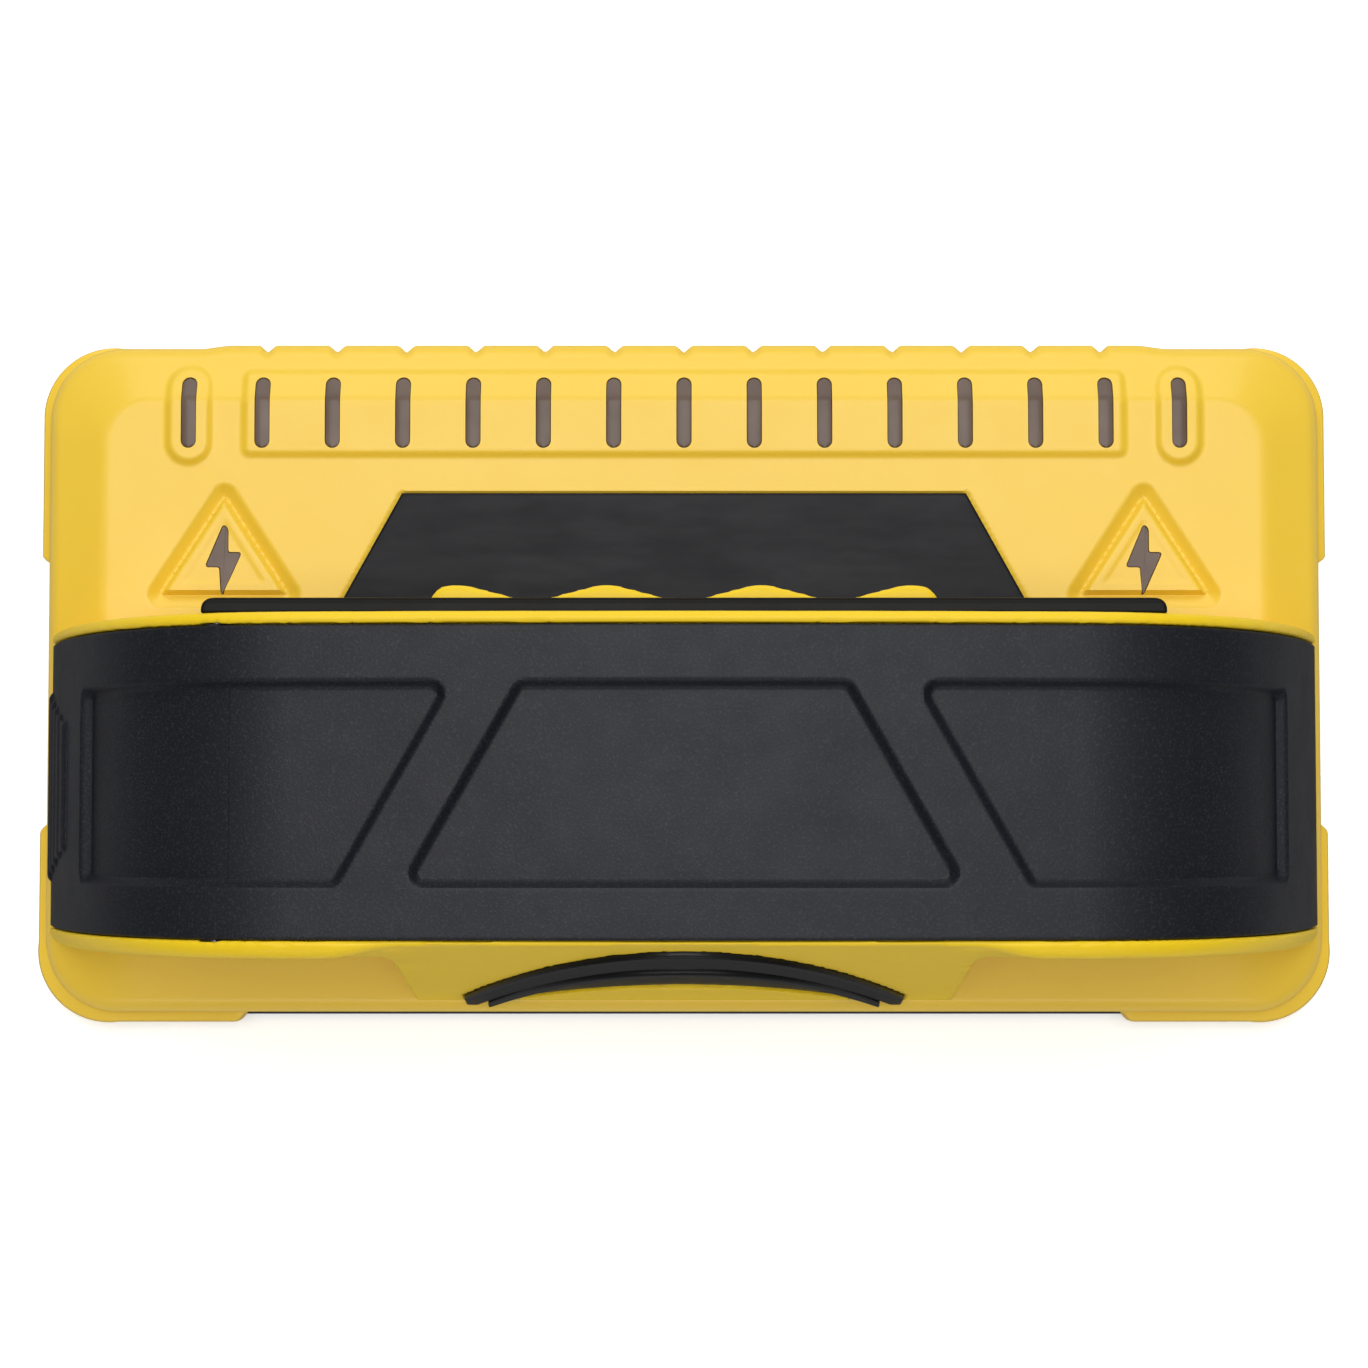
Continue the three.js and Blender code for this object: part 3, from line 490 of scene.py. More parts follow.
YELLOW = moulded("yellow_plastic", (0.80, 0.535, 0.042), (0.79, 0.52, 0.038), 0.45, 0.35, 0.010, 0.42,
                 coat=0.2)
# The handle's yellow is a tinted copy of the base's yellow plastic. Its more lemon tint paints in how light
# and reflections fall on the handle; the real handle is the same plastic as the base.
HANDLE_YELLOW_PAINTED_LIGHT = moulded("yellow_plastic_handle_painted_light", (0.79, 0.54, 0.014), (0.775, 0.53, 0.012), 0.42, 0.35, 0.010, 0.20,
                coat=0.05)
BLACK = moulded("textured_black_plastic", (0.0098, 0.0105, 0.0142), (0.0085, 0.009, 0.0122), 0.48, 0.34, 0.07,
                0.225, speck=2.4)
BUTTON_BLACK = moulded("satin_black_plastic", (0.0085, 0.0088, 0.0100), (0.0070, 0.0072, 0.0082), 0.32, 0.5,
                       0.008, 0.22)
RUBBER = moulded("soft_black_strip", (0.006, 0.006, 0.0058), (0.005, 0.005, 0.0048), 0.42, 0.4, 0.008, 0.10)
PLATE = moulded("dark_base_plastic", (0.020, 0.020, 0.021), (0.016, 0.016, 0.017), 0.5, 0.5, 0.02, 0.4)
WHITE_PLASTIC = moulded("white_plastic", (0.74, 0.72, 0.66), (0.70, 0.68, 0.62), 0.4, 0.4, 0.01)
CHIP = moulded("chip_black", (0.018, 0.018, 0.020), (0.014, 0.014, 0.015), 0.55, 0.2, 0.02)
BOARD = moulded("circuit_board", (0.022, 0.13, 0.055), (0.018, 0.10, 0.045), 0.35, 1.2, 0.02)
LED_BODY = moulded("led_body", (0.82, 0.80, 0.70), (0.80, 0.76, 0.62), 0.3, 0.3, 0.005)


def liner_material():
    """Smooth black with faint rubbed smudges."""
    n = Nodes("smooth_black_plastic")
    cloud = n.noise(60, detail=5, roughness=0.6, stretch=(1, 1.6, 1))
    streak = n.noise(90, detail=4, roughness=0.7, stretch=(0.5, 2.2, 1))
    n.link(n.ramp(cloud, (0.35, (0.0075, 0.0078, 0.0098)), (0.7, (0.0105, 0.0108, 0.0135))), "Base Color")
    n.link(n.spread(streak, 0.35, 0.65, 0.30, 0.46), "Roughness")
    n.link(n.bump(cloud, 0.2, 0.02), "Normal")
    n.set(Specular_IOR_Level=0.11)
    return n.material


def lens_material():
    """Smoky brown window plastic with a slow drift in its tone."""
    n = Nodes("smoked_lens")
    drift = n.noise(120, detail=2)
    n.link(n.ramp(drift, (0.3, (0.10, 0.066, 0.050)), (0.7, (0.135, 0.095, 0.074))), "Base Color")
    n.link(n.spread(n.noise(700, detail=2), 0.3, 0.7, 0.28, 0.36), "Roughness")
    n.link(n.bump(n.noise(400, detail=2), 0.2, 0.01), "Normal")
    n.set(Specular_IOR_Level=0.2, Coat_Weight=0.1, Coat_Roughness=0.15)
    return n.material


def metal(name, colour, roughness, stretch):
    """Drawn or plated metal with fine lines along one direction."""
    n = Nodes(name)
    fine = n.noise(900, detail=3, stretch=stretch)
    n.link(n.mix(fine, colour, tuple(c * 0.8 for c in colour)), "Base Color")
    n.link(n.spread(fine, 0.3, 0.7, roughness - 0.06, roughness + 0.08), "Roughness")
    n.link(n.bump(fine, 0.2, 0.01), "Normal")
    n.set(Metallic=1.0)
    return n.material


LINER = liner_material()
LENS = lens_material()
CONTACT = metal("contact_steel", (0.66, 0.66, 0.65), 0.30, (1, 6, 1))
PIN = metal("steel_pin", (0.60, 0.61, 0.62), 0.28, (6, 1, 6))
SCREW = metal("screw_steel", (0.56, 0.57, 0.58), 0.34, (3, 3, 3))
JACKET = metal("cell_jacket", (0.10, 0.13, 0.17), 0.33, (1, 5, 5))


# ---- camera, light and floor ----

CAMERA_LENS, SENSOR_WIDTH = 73.58, 36
CAMERA_AT, CAMERA_AIM = (0, -19.0, 410), (0, 0.2, 0)
# Brightness all round, from straight down (0) over the horizon (0.5) to straight up (1).
SURROUNDINGS = ((0.0, 0.08), (0.06, 0.08), (0.16, 0.36), (0.27, 0.38), (0.45, 0.012), (0.62, 0.035),
                (1.0, 0.33))
FLOOR_RADIUS, FLOOR_Z, FLOOR_GLOW = 9.0, -0.0001, 0.32


def make_stage():
    """Camera, surround, three softboxes and a white floor."""
    scene = bpy.context.scene
    scene.view_settings.view_transform = "Standard"
    scene.view_settings.look = "None"

    camera = bpy.data.objects.new("camera", bpy.data.cameras.new("camera"))
    camera.data.lens = CAMERA_LENS
    camera.data.sensor_width = SENSOR_WIDTH
    camera.data.clip_start = 0.01
    place, aim = Vector(CAMERA_AT) * MM, Vector(CAMERA_AIM) * MM
    back = (place - aim).normalized()
    right = Vector((0, 1, 0)).cross(back).normalized()
    up = back.cross(right)
    camera.matrix_world = Matrix.Translation(place) @ Matrix((right, up, back)).transposed().to_4x4()
    scene.collection.objects.link(camera)
    scene.camera = camera

    world = bpy.data.worlds.new("studio")
    world.use_nodes = True
    tree = world.node_tree
    direction = tree.nodes.new("ShaderNodeSeparateXYZ")
    tree.links.new(tree.nodes.new("ShaderNodeTexCoord").outputs["Generated"], direction.inputs[0])
    level = tree.nodes.new("ShaderNodeMapRange")
    tree.links.new(direction.outputs["Z"], level.inputs["Value"])
    level.inputs["From Min"].default_value = -1
    shade = tree.nodes.new("ShaderNodeValToRGB")
    for _ in SURROUNDINGS[2:]:
        shade.color_ramp.elements.new(0.5)
    for element, (place, light) in zip(shade.color_ramp.elements, SURROUNDINGS):
        element.position = place
        element.color = (light, light, light, 1)
    tree.links.new(level.outputs["Result"], shade.inputs["Fac"])
    tree.links.new(shade.outputs["Color"], tree.nodes["Background"].inputs["Color"])
    scene.world = world

    def softbox(name, at, size, watts):
        light = bpy.data.lights.new(name, "AREA")
        light.shape = "RECTANGLE"
        light.size, light.size_y = size
        light.energy = watts
        lamp = bpy.data.objects.new(name, light)
        lamp.location = at
        lamp.rotation_euler = (Vector() - Vector(at)).to_track_quat("-Z", "Y").to_euler()
        scene.collection.objects.link(lamp)

    softbox("overhead", (0.0, 0.17, 0.95), (0.75, 0.75), 7.35)
    softbox("upper_edge", (0.0, 0.85, 0.45), (1.0, 0.5), 4.0)
    softbox("lower_fill", (0.0, -0.9, 0.5), (1.0, 0.2), 2.4)

    bpy.ops.mesh.primitive_circle_add(vertices=96, radius=FLOOR_RADIUS, fill_type="NGON",
                                      location=(0, 0, FLOOR_Z))
    floor = bpy.context.object
    floor.name = "floor"
    n = Nodes("floor_white")
    n.link(n.ramp(n.noise(3), (0, (0.93, 0.93, 0.93)), (1, (0.95, 0.95, 0.95))), "Base Color")
    n.set(Roughness=0.9, Specular_IOR_Level=0.1, Emission_Color=(1.0, 1.0, 1.0), Emission_Strength=FLOOR_GLOW)
    floor.data.materials.append(n.material)
    floor.visible_glossy = False


make_stage()


# ---- base ----

def wall_plate():
    """Dark glide plate with a rounded rim."""
    top = WALL_HIGH[2]
    outline, normal = rounded_outline(WALL_LOW[:2], WALL_HIGH[:2], PLATE_RADIUS)
    profile = ((0.8, 0), (0.45, 0.03), (0.15, 0.16), (0, 0.45), (0, top - 0.3), (0.1, top - 0.08),
               (0.35, top))
    rings = [at_height(outline - normal * back, z) for back, z in profile]
    return settle(loop_solid("glide_plate", rings, PLATE), "base", "dark_base_plastic", "wall_plate")


def back_shell():
    """Shallow tray with a bumper round each corner."""
    z0, z1 = BACK_LOW[2], FRONT_LOW[2] - CLEARANCE
    outline, normal = rounded_outline(*SHELL_CORNERS, SHELL_RADIUS, 0.45)
    x, y = outline.T
    beyond_x = ease((y - BUMPER_TOP_Y) / 1.6) + ease((BUMPER_LOW_Y - y) / 2.2)
    reach_y = np.where(y > 0, BACK_HIGH[1] - SHELL_TOP_Y, SHELL_BOTTOM_Y - BACK_LOW[1])
    along_y = ease((np.abs(x) - BUMPER_X) / 1.8)
    wide = (BACK_HIGH[0] - SHELL_HALF_X) * beyond_x
    bumper = np.abs(normal[:, 0]) * wide + np.abs(normal[:, 1]) * reach_y * along_y
    crest = z1 - 0.2

    def ring(z, back, share):
        return at_height(outline + normal * (bumper * share - back)[:, None], z)

    outer = [ring(z0, 0.5, 0.75), ring(z0 + 0.15, 0.15, 0.95), ring(z0 + 0.6, 0, 1), ring(z0 + 2.2, 0, 1),
             ring(crest - 0.9, 0, 1), ring(crest - 0.3, 0.12, 0.9), ring(crest, 0.3, 0.5), ring(z1, 0.3, 0)]
    inner = [ring(z1, 2.0, 0), ring(z1 - 0.3, 2.1, 0), ring(z0 + 1.8, 2.1, 0), ring(z0 + 1.4, 2.5, 0)]
    return settle(loop_solid("rear_shell", outer + inner, YELLOW), "base", "yellow_plastic", "back_shell")


def sign_corners(x):
    """Corners of a triangle outline, anticlockwise."""
    return [(x - SIGN_HALF, SIGN_BASE_Y), (x + SIGN_HALF, SIGN_BASE_Y), (x, SIGN_APEX_Y)]


def liner_corners(spare=0.0):
    """Corners of the finger well's plate."""
    half_top, half_low = 40.1 + spare, LINER_HIGH[0] + spare
    low, high = LINER_LOW[1] - spare, LINER_HIGH[1] + spare
    return [(-half_low, low), (half_low, low), (half_top, high), (-half_top, high)]


def front_relief(x, y):
    """What the moulding adds to the base's top: light band, edge pads, triangles, liner seat."""
    band = rounded_rect(x, y, (-BAND_HALF_X, BAND_LOW_Y), (BAND_HALF_X, BAND_HIGH_Y), 1.4)
    relief = RAISED * wall(-band)
    for side in (-1, 1):
        cx = side * EDGE_LIGHT_X
        pad = rounded_rect(x, y, (cx - PAD_HALF_X, PAD_LOW_Y), (cx + PAD_HALF_X, PAD_HIGH_Y), 3.4)
        relief = relief + RAISED * PAD_RISE * wall(-pad)
        inside = -round_polygon(x, y, sign_corners(side * SIGN_X), SIGN_RADIUS)
        groove = wall(inside / 1.9) - wall((inside - 2.0) / 0.5)
        relief = relief - GROOVE_DEPTH * groove - 0.14 * wall((inside - 3.6) / 0.4)
    seat = polygon_field(x, y, liner_corners(CLEARANCE))
    return relief - SEAT_DEPTH * ease((0.1 - seat) / 0.2)


def prism(corners, low, high):
    """Points and faces of an upright prism."""
    count = len(corners)
    points = [(*c, low) for c in corners] + [(*c, high) for c in corners]
    faces = [list(range(count))[::-1], [k + count for k in range(count)]]
    faces += [[k, (k + 1) % count, (k + 1) % count + count, k + count] for k in range(count)]
    return points, faces


def slot_corners(x, half, low_y, high_y):
    """Outline of a slot with round ends."""
    turns = np.linspace(0, math.pi, 14)
    top = [(x + half * math.cos(a), high_y - half + half * math.sin(a)) for a in turns]
    low = [(x - half * math.cos(a), low_y + half - half * math.sin(a)) for a in turns]
    return top + low


def bolt_corners(x, grow):
    """Lightning bolt with its corners slightly rounded, grown by a margin."""
    raw = [(-0.05, 22.2), (-2.55, 16.25), (-0.55, 16.25), (-0.25, 12.2), (2.45, 18.2), (0.55, 18.2),
           (0.55, 21.6)]
    round_off = 0.45
    corners = [np.array(p) for p in raw]
    rounded = []
    count = len(corners)
    for i in range(count):
        before, here, after = corners[i - 1], corners[i], corners[(i + 1) % count]
        back = (before - here) / np.linalg.norm(before - here)
        ahead = (after - here) / np.linalg.norm(after - here)
        start, end = here + back * round_off, here + ahead * round_off
        for t in (0, 0.25, 0.5, 0.75, 1):
            rounded.append((1 - t) ** 2 * start + 2 * t * (1 - t) * here + t * t * end)
    points = np.array(rounded)
    edge = np.roll(points, -1, 0) - np.roll(points, 1, 0)
    outward = np.stack([edge[:, 1], -edge[:, 0]], 1) / np.linalg.norm(edge, axis=1)[:, None]
    return [(x + px, py) for px, py in points + outward * grow]


def merge_parts(name, parts, material, sharp=None):
    """Several closed bodies of points and faces in one object."""
    points, faces, start = [], [], 0
    for part_points, part_faces in parts:
        points.extend(part_points)
        faces.extend([[k + start for k in face] for face in part_faces])
        start += len(part_points)
    return make_object(name, points, faces, material, sharp)


def front_shell():
    """Yellow housing: one closed shell whose top carries the moulded relief."""
    fine, coarse = 0.32, 0.8
    stops = [(-SHELL_HALF_X, 0.25), (-SHELL_HALF_X + 2.4, coarse), (-81, fine), (-53.5, 0.45), (53.5, fine),
             (81, coarse), (SHELL_HALF_X - 2.4, 0.25), (SHELL_HALF_X, None)]
    xs = lines(stops)
    ys = lines([(SHELL_BOTTOM_Y, 0.25), (SHELL_BOTTOM_Y + 2.4, 0.7), (-36, 2.0), (6, coarse), (10, fine),
                (46, 0.25), (SHELL_TOP_Y, None)])
    gx, gy = np.meshgrid(xs, ys, indexing="ij")

    # Corner squares are bent onto quarter discs, so that the grid follows the outline.
    cx = SHELL_HALF_X - SHELL_RADIUS
    cy_low, cy_high = SHELL_BOTTOM_Y + SHELL_RADIUS, SHELL_TOP_Y - SHELL_RADIUS
    u = np.maximum(np.abs(gx) - cx, 0) / SHELL_RADIUS
    v = np.maximum(np.maximum(gy - cy_high, cy_low - gy), 0) / SHELL_RADIUS
    flat_x, flat_y = np.clip(gx, -cx, cx), np.clip(gy, cy_low, cy_high)
    up = np.where(gy > 0, 1, -1)
    px = flat_x + np.sign(gx) * SHELL_RADIUS * u * np.sqrt(1 - v * v / 2)
    py = flat_y + up * SHELL_RADIUS * v * np.sqrt(1 - u * u / 2)

    def beyond(x, y):
        return rounded_rect(x, y, *SHELL_CORNERS, SHELL_RADIUS)

    depth = -beyond(px, py)
    step = 0.01
    nx = -(beyond(px - step, py) - beyond(px + step, py)) / (2 * step)
    ny = -(beyond(px, py - step) - beyond(px, py + step)) / (2 * step)
    turn = np.clip(1 - depth / EDGE_ROUND, 0, 1) * math.pi / 2
    new_depth = np.where(depth < EDGE_ROUND, EDGE_ROUND * (1 - np.sin(turn)), depth)
    shift = np.where(depth < EDGE_ROUND, depth - new_depth, 0)
    drop = EDGE_ROUND * (1 - np.cos(turn))
    px, py = px + nx * shift, py + ny * shift
    pz = base_height(px, py) + front_relief(px, py) - drop

    # The edge along the lights stands a little further out and has a notch at each light.
    ruler = (RULER_TOP_Y - SHELL_TOP_Y) * ease((RULER_HALF_X + 3 - np.abs(px)) / 5)
    to_light = np.min([np.abs(px - x) for x in LIGHT_X], axis=0)
    notch = NOTCH_DEPTH * np.clip(NOTCH_HALF_X - to_light, 0, NOTCH_HALF_X) / NOTCH_HALF_X
    near_edge = ease((py - (SHELL_TOP_Y - 2.6)) / 2.6)
    py = py + (ruler - notch) * near_edge
    outer = np.stack([px, py, pz], -1).reshape(-1, 3)

    rows, columns = gx.shape
    border = grid_border(rows, columns)
    rim = outer[border]
    normals = np.stack([nx.ravel()[border], ny.ravel()[border]], 1)
    bottom = FRONT_LOW[2]

    def ring(back, z):
        moved = rim.copy()
        moved[:, :2] -= normals * back
        moved[:, 2] = z
        return moved

    rings = [ring(0, bottom + 0.35), ring(0.1, bottom + 0.08), ring(0.3, bottom), ring(2.0, bottom),
             ring(2.1, bottom + 0.2), ring(2.2, 9.1), ring(3.2, 9.6), ring(9.2, 11.8)]
    points = np.concatenate([outer, *rings])
    faces = grid_quads(rows, columns).tolist()
    previous = border
    start = rows * columns
    for k in range(len(rings)):
        here = np.arange(len(border)) + start + k * len(border)
        faces.extend(ring_quads(previous, here)[:, ::-1].tolist())
        previous = here
    faces.append(previous[::-1].tolist())
    shell = make_object("front_housing", points, faces, YELLOW)
    recalculate_normals(shell)

    half = WINDOW_WIDTH / 2
    cutters = [prism(slot_corners(x, half, WINDOW_LOW_Y, WINDOW_HIGH_Y), HOLE_LOW_Z, HOLE_HIGH_Z)
               for x in [*LIGHT_X, -EDGE_LIGHT_X, EDGE_LIGHT_X]]
    cutters += [prism(bolt_corners(side * SIGN_X, 0.12), HOLE_LOW_Z, HOLE_HIGH_Z) for side in (-1, 1)]
    holes = merge_parts("window_holes", cutters, YELLOW)
    recalculate_normals(holes)
    subtract(shell, holes)
    shell.data.shade_smooth()
    shell.data.set_sharp_from_angle(angle=math.radians(50))
    return settle(shell, "base", "yellow_plastic", "front_shell")


def recalculate_normals(obj):
    work = bmesh.new()
    work.from_mesh(obj.data)
    bmesh.ops.recalc_face_normals(work, faces=work.faces)
    work.to_mesh(obj.data)
    work.free()


def finger_well_liner():
    """Smooth black plate with a softened edge."""
    z0, z1 = LINER_LOW[2], LINER_HIGH[2]
    rings = []
    for back, z in ((0.0, z0 + 0.1), (0.0, z1 - 0.3), (0.06, z1 - 0.12), (0.2, z1 - 0.03), (0.4, z1)):
        corners = inset(liner_corners(), back)
        loop = []
        for a, b in zip(corners, corners[1:] + corners[:1]):
            for t in np.linspace(0, 1, 40, endpoint=False):
                loop.append((a[0] + (b[0] - a[0]) * t, a[1] + (b[1] - a[1]) * t))
        rings.append(at_height(np.array(loop), z))
    obj = loop_solid("well_liner", rings, LINER, sharp=60)
    return settle(obj, "base", "smooth_black_plastic", "finger_well_liner")


wall_plate()
back_shell()
front_shell()
finger_well_liner()


# ---- handle ----

def bridge_face(y, z):
    """Distance in front of the leaning face of the bridge."""
    top_y, top_z = BRIDGE_TOP
    return (top_y - (top_z - z) * BRIDGE_LEAN - y) / math.hypot(1, BRIDGE_LEAN)


def along_press(y, z):
    """Height at which the thumb button's direction of travel through a point meets the leaning face."""
    return z + PRESS[2] * bridge_face(y, z)


CRESCENT_FOOT = 11.6
BEZEL_CURVE, BUTTON_CURVE, LOWER_CURVE = (51.5, 32.6), (42.8, 28.8), (22.8, 24.0)
BEAD_CURVE, SLOT_CURVE = (39.9, 28.2), (33.0, 25.6)
BEZEL_END_X, BUTTON_END_X, SLOT_END_X = 30.9, 27.6, 14.2
BEZEL_DEPTH, BUTTON_DEPTH = 2.0, 2.2


def under_curve(x, z, curve):
    """Distance under a parabola given by its top and its half width at the crescent's foot."""
    crown, half = curve
    bend = (crown - CRESCENT_FOOT) / half**2
    return (z - crown + bend * x * x) / np.sqrt(1 + (2 * bend * x) ** 2)


def crescent(x, z, curve, grow=0.0):
    """Between a curve and the lower curve, cut off at the foot and at both ends."""
    band = np.maximum(under_curve(x, z, curve) - grow, -under_curve(x, z, LOWER_CURVE) - grow)
    return np.maximum(np.maximum(band, np.abs(x) - BEZEL_END_X - grow), CRESCENT_FOOT - grow - z)


def ridge_line(x):
    """How far the finger ridges stand out, along X: four crests, steep at the outer ends."""
    a = np.abs(x)
    inner = RIDGE_TOP_Y - RIDGE_SLOPE * np.sqrt((a - RIDGE_INNER_X) ** 2 + 1.4)
    outer = RIDGE_TOP_Y - RIDGE_SLOPE * np.sqrt((a - RIDGE_OUTER_X) ** 2 + 1.8)
    steep = 11.1 - 0.31 * np.maximum(a - 30.6, 0) ** 1.9
    return np.maximum(np.minimum(np.maximum(inner, outer), steep), RIDGE_FOOT_Y)


def handle_field(x, y, z):
    """Arch with legs, bridge and finger ridges, less the seats and hollows."""
    arch = arch_field(x, z)
    top_y, top_z = BRIDGE_TOP
    beside = ease((np.abs(x) - BRIDGE_HALF_X + 2) / 10)
    front_y = RIM_LOW_Y + np.maximum(top_y - (top_z - z) * BRIDGE_LEAN - RIM_LOW_Y, 0) * (1 - beside)
    body = both(both(arch, front_y - y, 1.1 + 1.0 * beside), y - RIM_HIGH_Y, 0.8)
    gap = rounded_rect(x, z, (-GAP_HALF_X, -60), (GAP_HALF_X, GAP_TOP_Z), GAP_RADIUS)
    body = cut(body, gap, 1.0)
    ridge = both(y - ridge_line(x), np.maximum(slab(z, RIDGE_LOW_Z, RIDGE_HIGH_Z), 4 - y), 0.9)
    body = either(body, both(ridge, np.abs(x) - RIDGE_HALF_X, 0.9), 0.5)
    bridge = both(np.maximum(bridge_face(y, z), y - BRIDGE_BACK_Y), np.abs(x) - BRIDGE_HALF_X, 0.6)
    body = either(body, both(bridge, arch + 2.5, 0.3), 1.1 * ease((np.abs(x) - 34) / 3))
    recess = COVER_THICKNESS + CLEARANCE
    seat = np.maximum(-(arch + recess), slab(y, COVER_LOW[1] - CLEARANCE, COVER_HIGH[1] + CLEARANCE))
    body = cut(body, seat, 0.2)
    face = bridge_face(y, z)
    height = along_press(y, z)
    body = cut(body, np.maximum(crescent(x, height, BEZEL_CURVE, 0.12), -(face + 2.1)), 0.2)
    body = cut(body, np.maximum(crescent(x, height, BUTTON_CURVE, 0.24), -(face + 3.8)), 0.1)
    bay = np.maximum(slab(y, *BAY_Y), np.maximum(BAY_FLOOR_Z - z, x - BAY_END_X))
    bay = np.maximum(bay, np.minimum(arch + 3.8, x - BAY_MOUTH_X))
    room = np.maximum(slab(y, *ROOM_Y), np.maximum(slab(z, *ROOM_Z), slab(x, *ROOM_X)))
    well = np.maximum(slab(x, -WELL_HALF_X, WELL_HALF_X), np.maximum(y - WELL_TOP_Y, z - WELL_TOP_Z))
    well = np.maximum(well, face + BRIDGE_WALL)
    leg = np.maximum(np.abs(np.abs(x) - LEG_X) - LEG_HALF_X, np.maximum(slab(y, *LEG_Y), z - LEG_TOP_Z))
    for hollow in (bay, room, well, leg):
        body = cut(body, hollow, 0.3)
    from_pin = np.hypot(x - SEAM_X, z - PIN_Z)
    for radius, spare in ((2.5, CLEARANCE), (1.88, 0.35)):
        relief = np.maximum(from_pin - radius, slab(y, COVER_LOW[1] - spare, COVER_HIGH[1] + spare))
        body = cut(body, relief, 0.05)
    latch = np.maximum(slab(y, *LATCH_Y), np.maximum(slab(z, 9, 28.6), np.maximum(x, -(arch + 3.6))))
    body = cut(body, latch, 0.2)
    return both(body, base_height(x, y) + 0.05 - z, 0.15)


def handle_body():
    obj = field_mesh("handle_frame", handle_field, (HANDLE_LOW[0] - 0.5, HANDLE_LOW[1] - 0.5, HANDLE_LOW[2]),
                     (HANDLE_HIGH[0] + 0.5, 12.2, HANDLE_HIGH[2]), 0.5, HANDLE_YELLOW_PAINTED_LIGHT, adaptivity=0.03)
    return settle(obj, "base", "yellow_plastic", "handle_body")


def field_depth(s, y):
    """Depth of the recessed fields of the grip cover at distance s along the arch."""
    top, low = -1.8, -28.3
    width, depth = 1.15, 1.3
    outer = arch_length_at_z(33.6)
    shapes = [[(-36.3, low), (36.3, low), (21.2, top), (-21.2, top)]]
    shapes.append([(43.9, low), (outer, low), (outer, top), (28.8, top)])
    shapes.append([(-x, y_) for x, y_ in shapes[1]][::-1])
    total = 0
    for corners in shapes:
        total = total + depth * wall(-round_polygon(s, y, corners, 2.0) / width)
    return total


KNUCKLE_RADIUS, HATCH_NOSE, PANEL_RELIEF = 1.75, 2.30, 2.35


def hinge_on_arch():
    """Distance along the arch to the point nearest the hinge pin, and how deep the pin lies under it."""
    away = np.hypot(-ARCH[:, 0] - SEAM_X, ARCH[:, 1] - PIN_Z)
    nearest = int(np.argmin(away))
    return -ARCH_LENGTH[nearest], away[nearest]


S_PIN, PIN_DEPTH = hinge_on_arch()
S_END = arch_length_at_z(12.0)


def seam_at(depth, radius):
    """Where the seam lies along the arch at a depth: both ends are round about the hinge pin."""
    s = S_PIN + np.sqrt(radius**2 - (PIN_DEPTH - depth) ** 2)
    for _ in range(8):
        x, z = arch_point(s, -depth)
        away = np.hypot(x - SEAM_X, z - PIN_Z)
        s = s - (away - radius) * away / (s - S_PIN)
    return s


def arch_shell(name, s_low, s_high, radius, material):
    """A skin on the arch between two distances along it. The end given as None is the seam of this radius."""
    y_low, y_high = COVER_LOW[1], COVER_HIGH[1]
    edge = 0.4
    seam = seam_at(0, radius)
    seam_is_low = s_low is None
    s_low, s_high = (seam, s_high) if seam_is_low else (s_low, seam)
    ss = lines([(s_low, 0.1), (s_low + edge, 0.3), (s_high - edge, 0.1), (s_high, None)])
    ys = lines([(y_low, 0.1), (y_low + edge, 0.27), (y_high - edge, 0.1), (y_high, None)])
    gs, gy = np.meshgrid(ss, ys, indexing="ij")
    near = ease(1 - np.abs(gs - seam) / 4)
    top = field_depth(seam + 0 * ys, ys)[None, :] * near

    def lengthwise(depth):
        """The grid moved so that its seam end stays round about the pin."""
        return gs + (seam_at(depth, radius) - seam) * near

    to_edge = np.minimum(np.minimum(gy - y_low, y_high - gy), s_high - gs if seam_is_low else gs - s_low)
    roll = edge - np.sqrt(np.maximum(edge**2 - np.maximum(edge - to_edge, 0) ** 2, 0))
    outer_s = lengthwise(top)
    px, pz = arch_point(outer_s, -field_depth(outer_s, gy) - roll)
    outer = np.stack([px, gy, pz], -1).reshape(-1, 3)
    rows, columns = gs.shape
    border = grid_border(rows, columns)

    def layer(share, back):
        depth = top + (COVER_THICKNESS - top) * share
        s = lengthwise(depth)
        s = np.minimum(s, s_high - back) if seam_is_low else np.maximum(s, s_low + back)
        x, z = arch_point(s, -depth)
        return np.stack([x, np.clip(gy, y_low + back, y_high - back), z], -1).reshape(-1, 3)

    points = [outer]
    faces = grid_quads(rows, columns).tolist()
    previous, start = border, rows * columns
    for share, back in ((0.25, 0), (0.45, 0), (0.65, 0), (0.8, 0), (0.9, 0), (1, 0.2)):
        points.append(layer(share, back)[border])
        here = np.arange(len(border)) + start
        faces.extend(ring_quads(previous, here)[:, ::-1].tolist())
        previous, start = here, start + len(border)
    last = previous

    # The inner face is bare: one strip across for each step along the arch.
    low_side, high_side = last[:rows], last[rows + columns - 2:2 * rows + columns - 2][::-1]
    faces.extend([low_side[i], high_side[i], high_side[i + 1], low_side[i + 1]] for i in range(1, rows - 2))
    first_row = [low_side[0], *last[2 * rows + columns - 2:][::-1], high_side[0]]
    faces.append([*first_row, high_side[1], low_side[1]])
    last_row = last[rows - 1:rows + columns - 1]
    faces.append([low_side[-2], high_side[-2], *last_row[::-1]])
    shell = make_object(name, np.concatenate(points), faces, material, sharp=35)
    recalculate_normals(shell)
    return shell


def grip_cover():
    obj = arch_shell("grip_panel", None, S_END, PANEL_RELIEF, BLACK)
    return settle(obj, "base", "textured_black_plastic", "grip_cover")


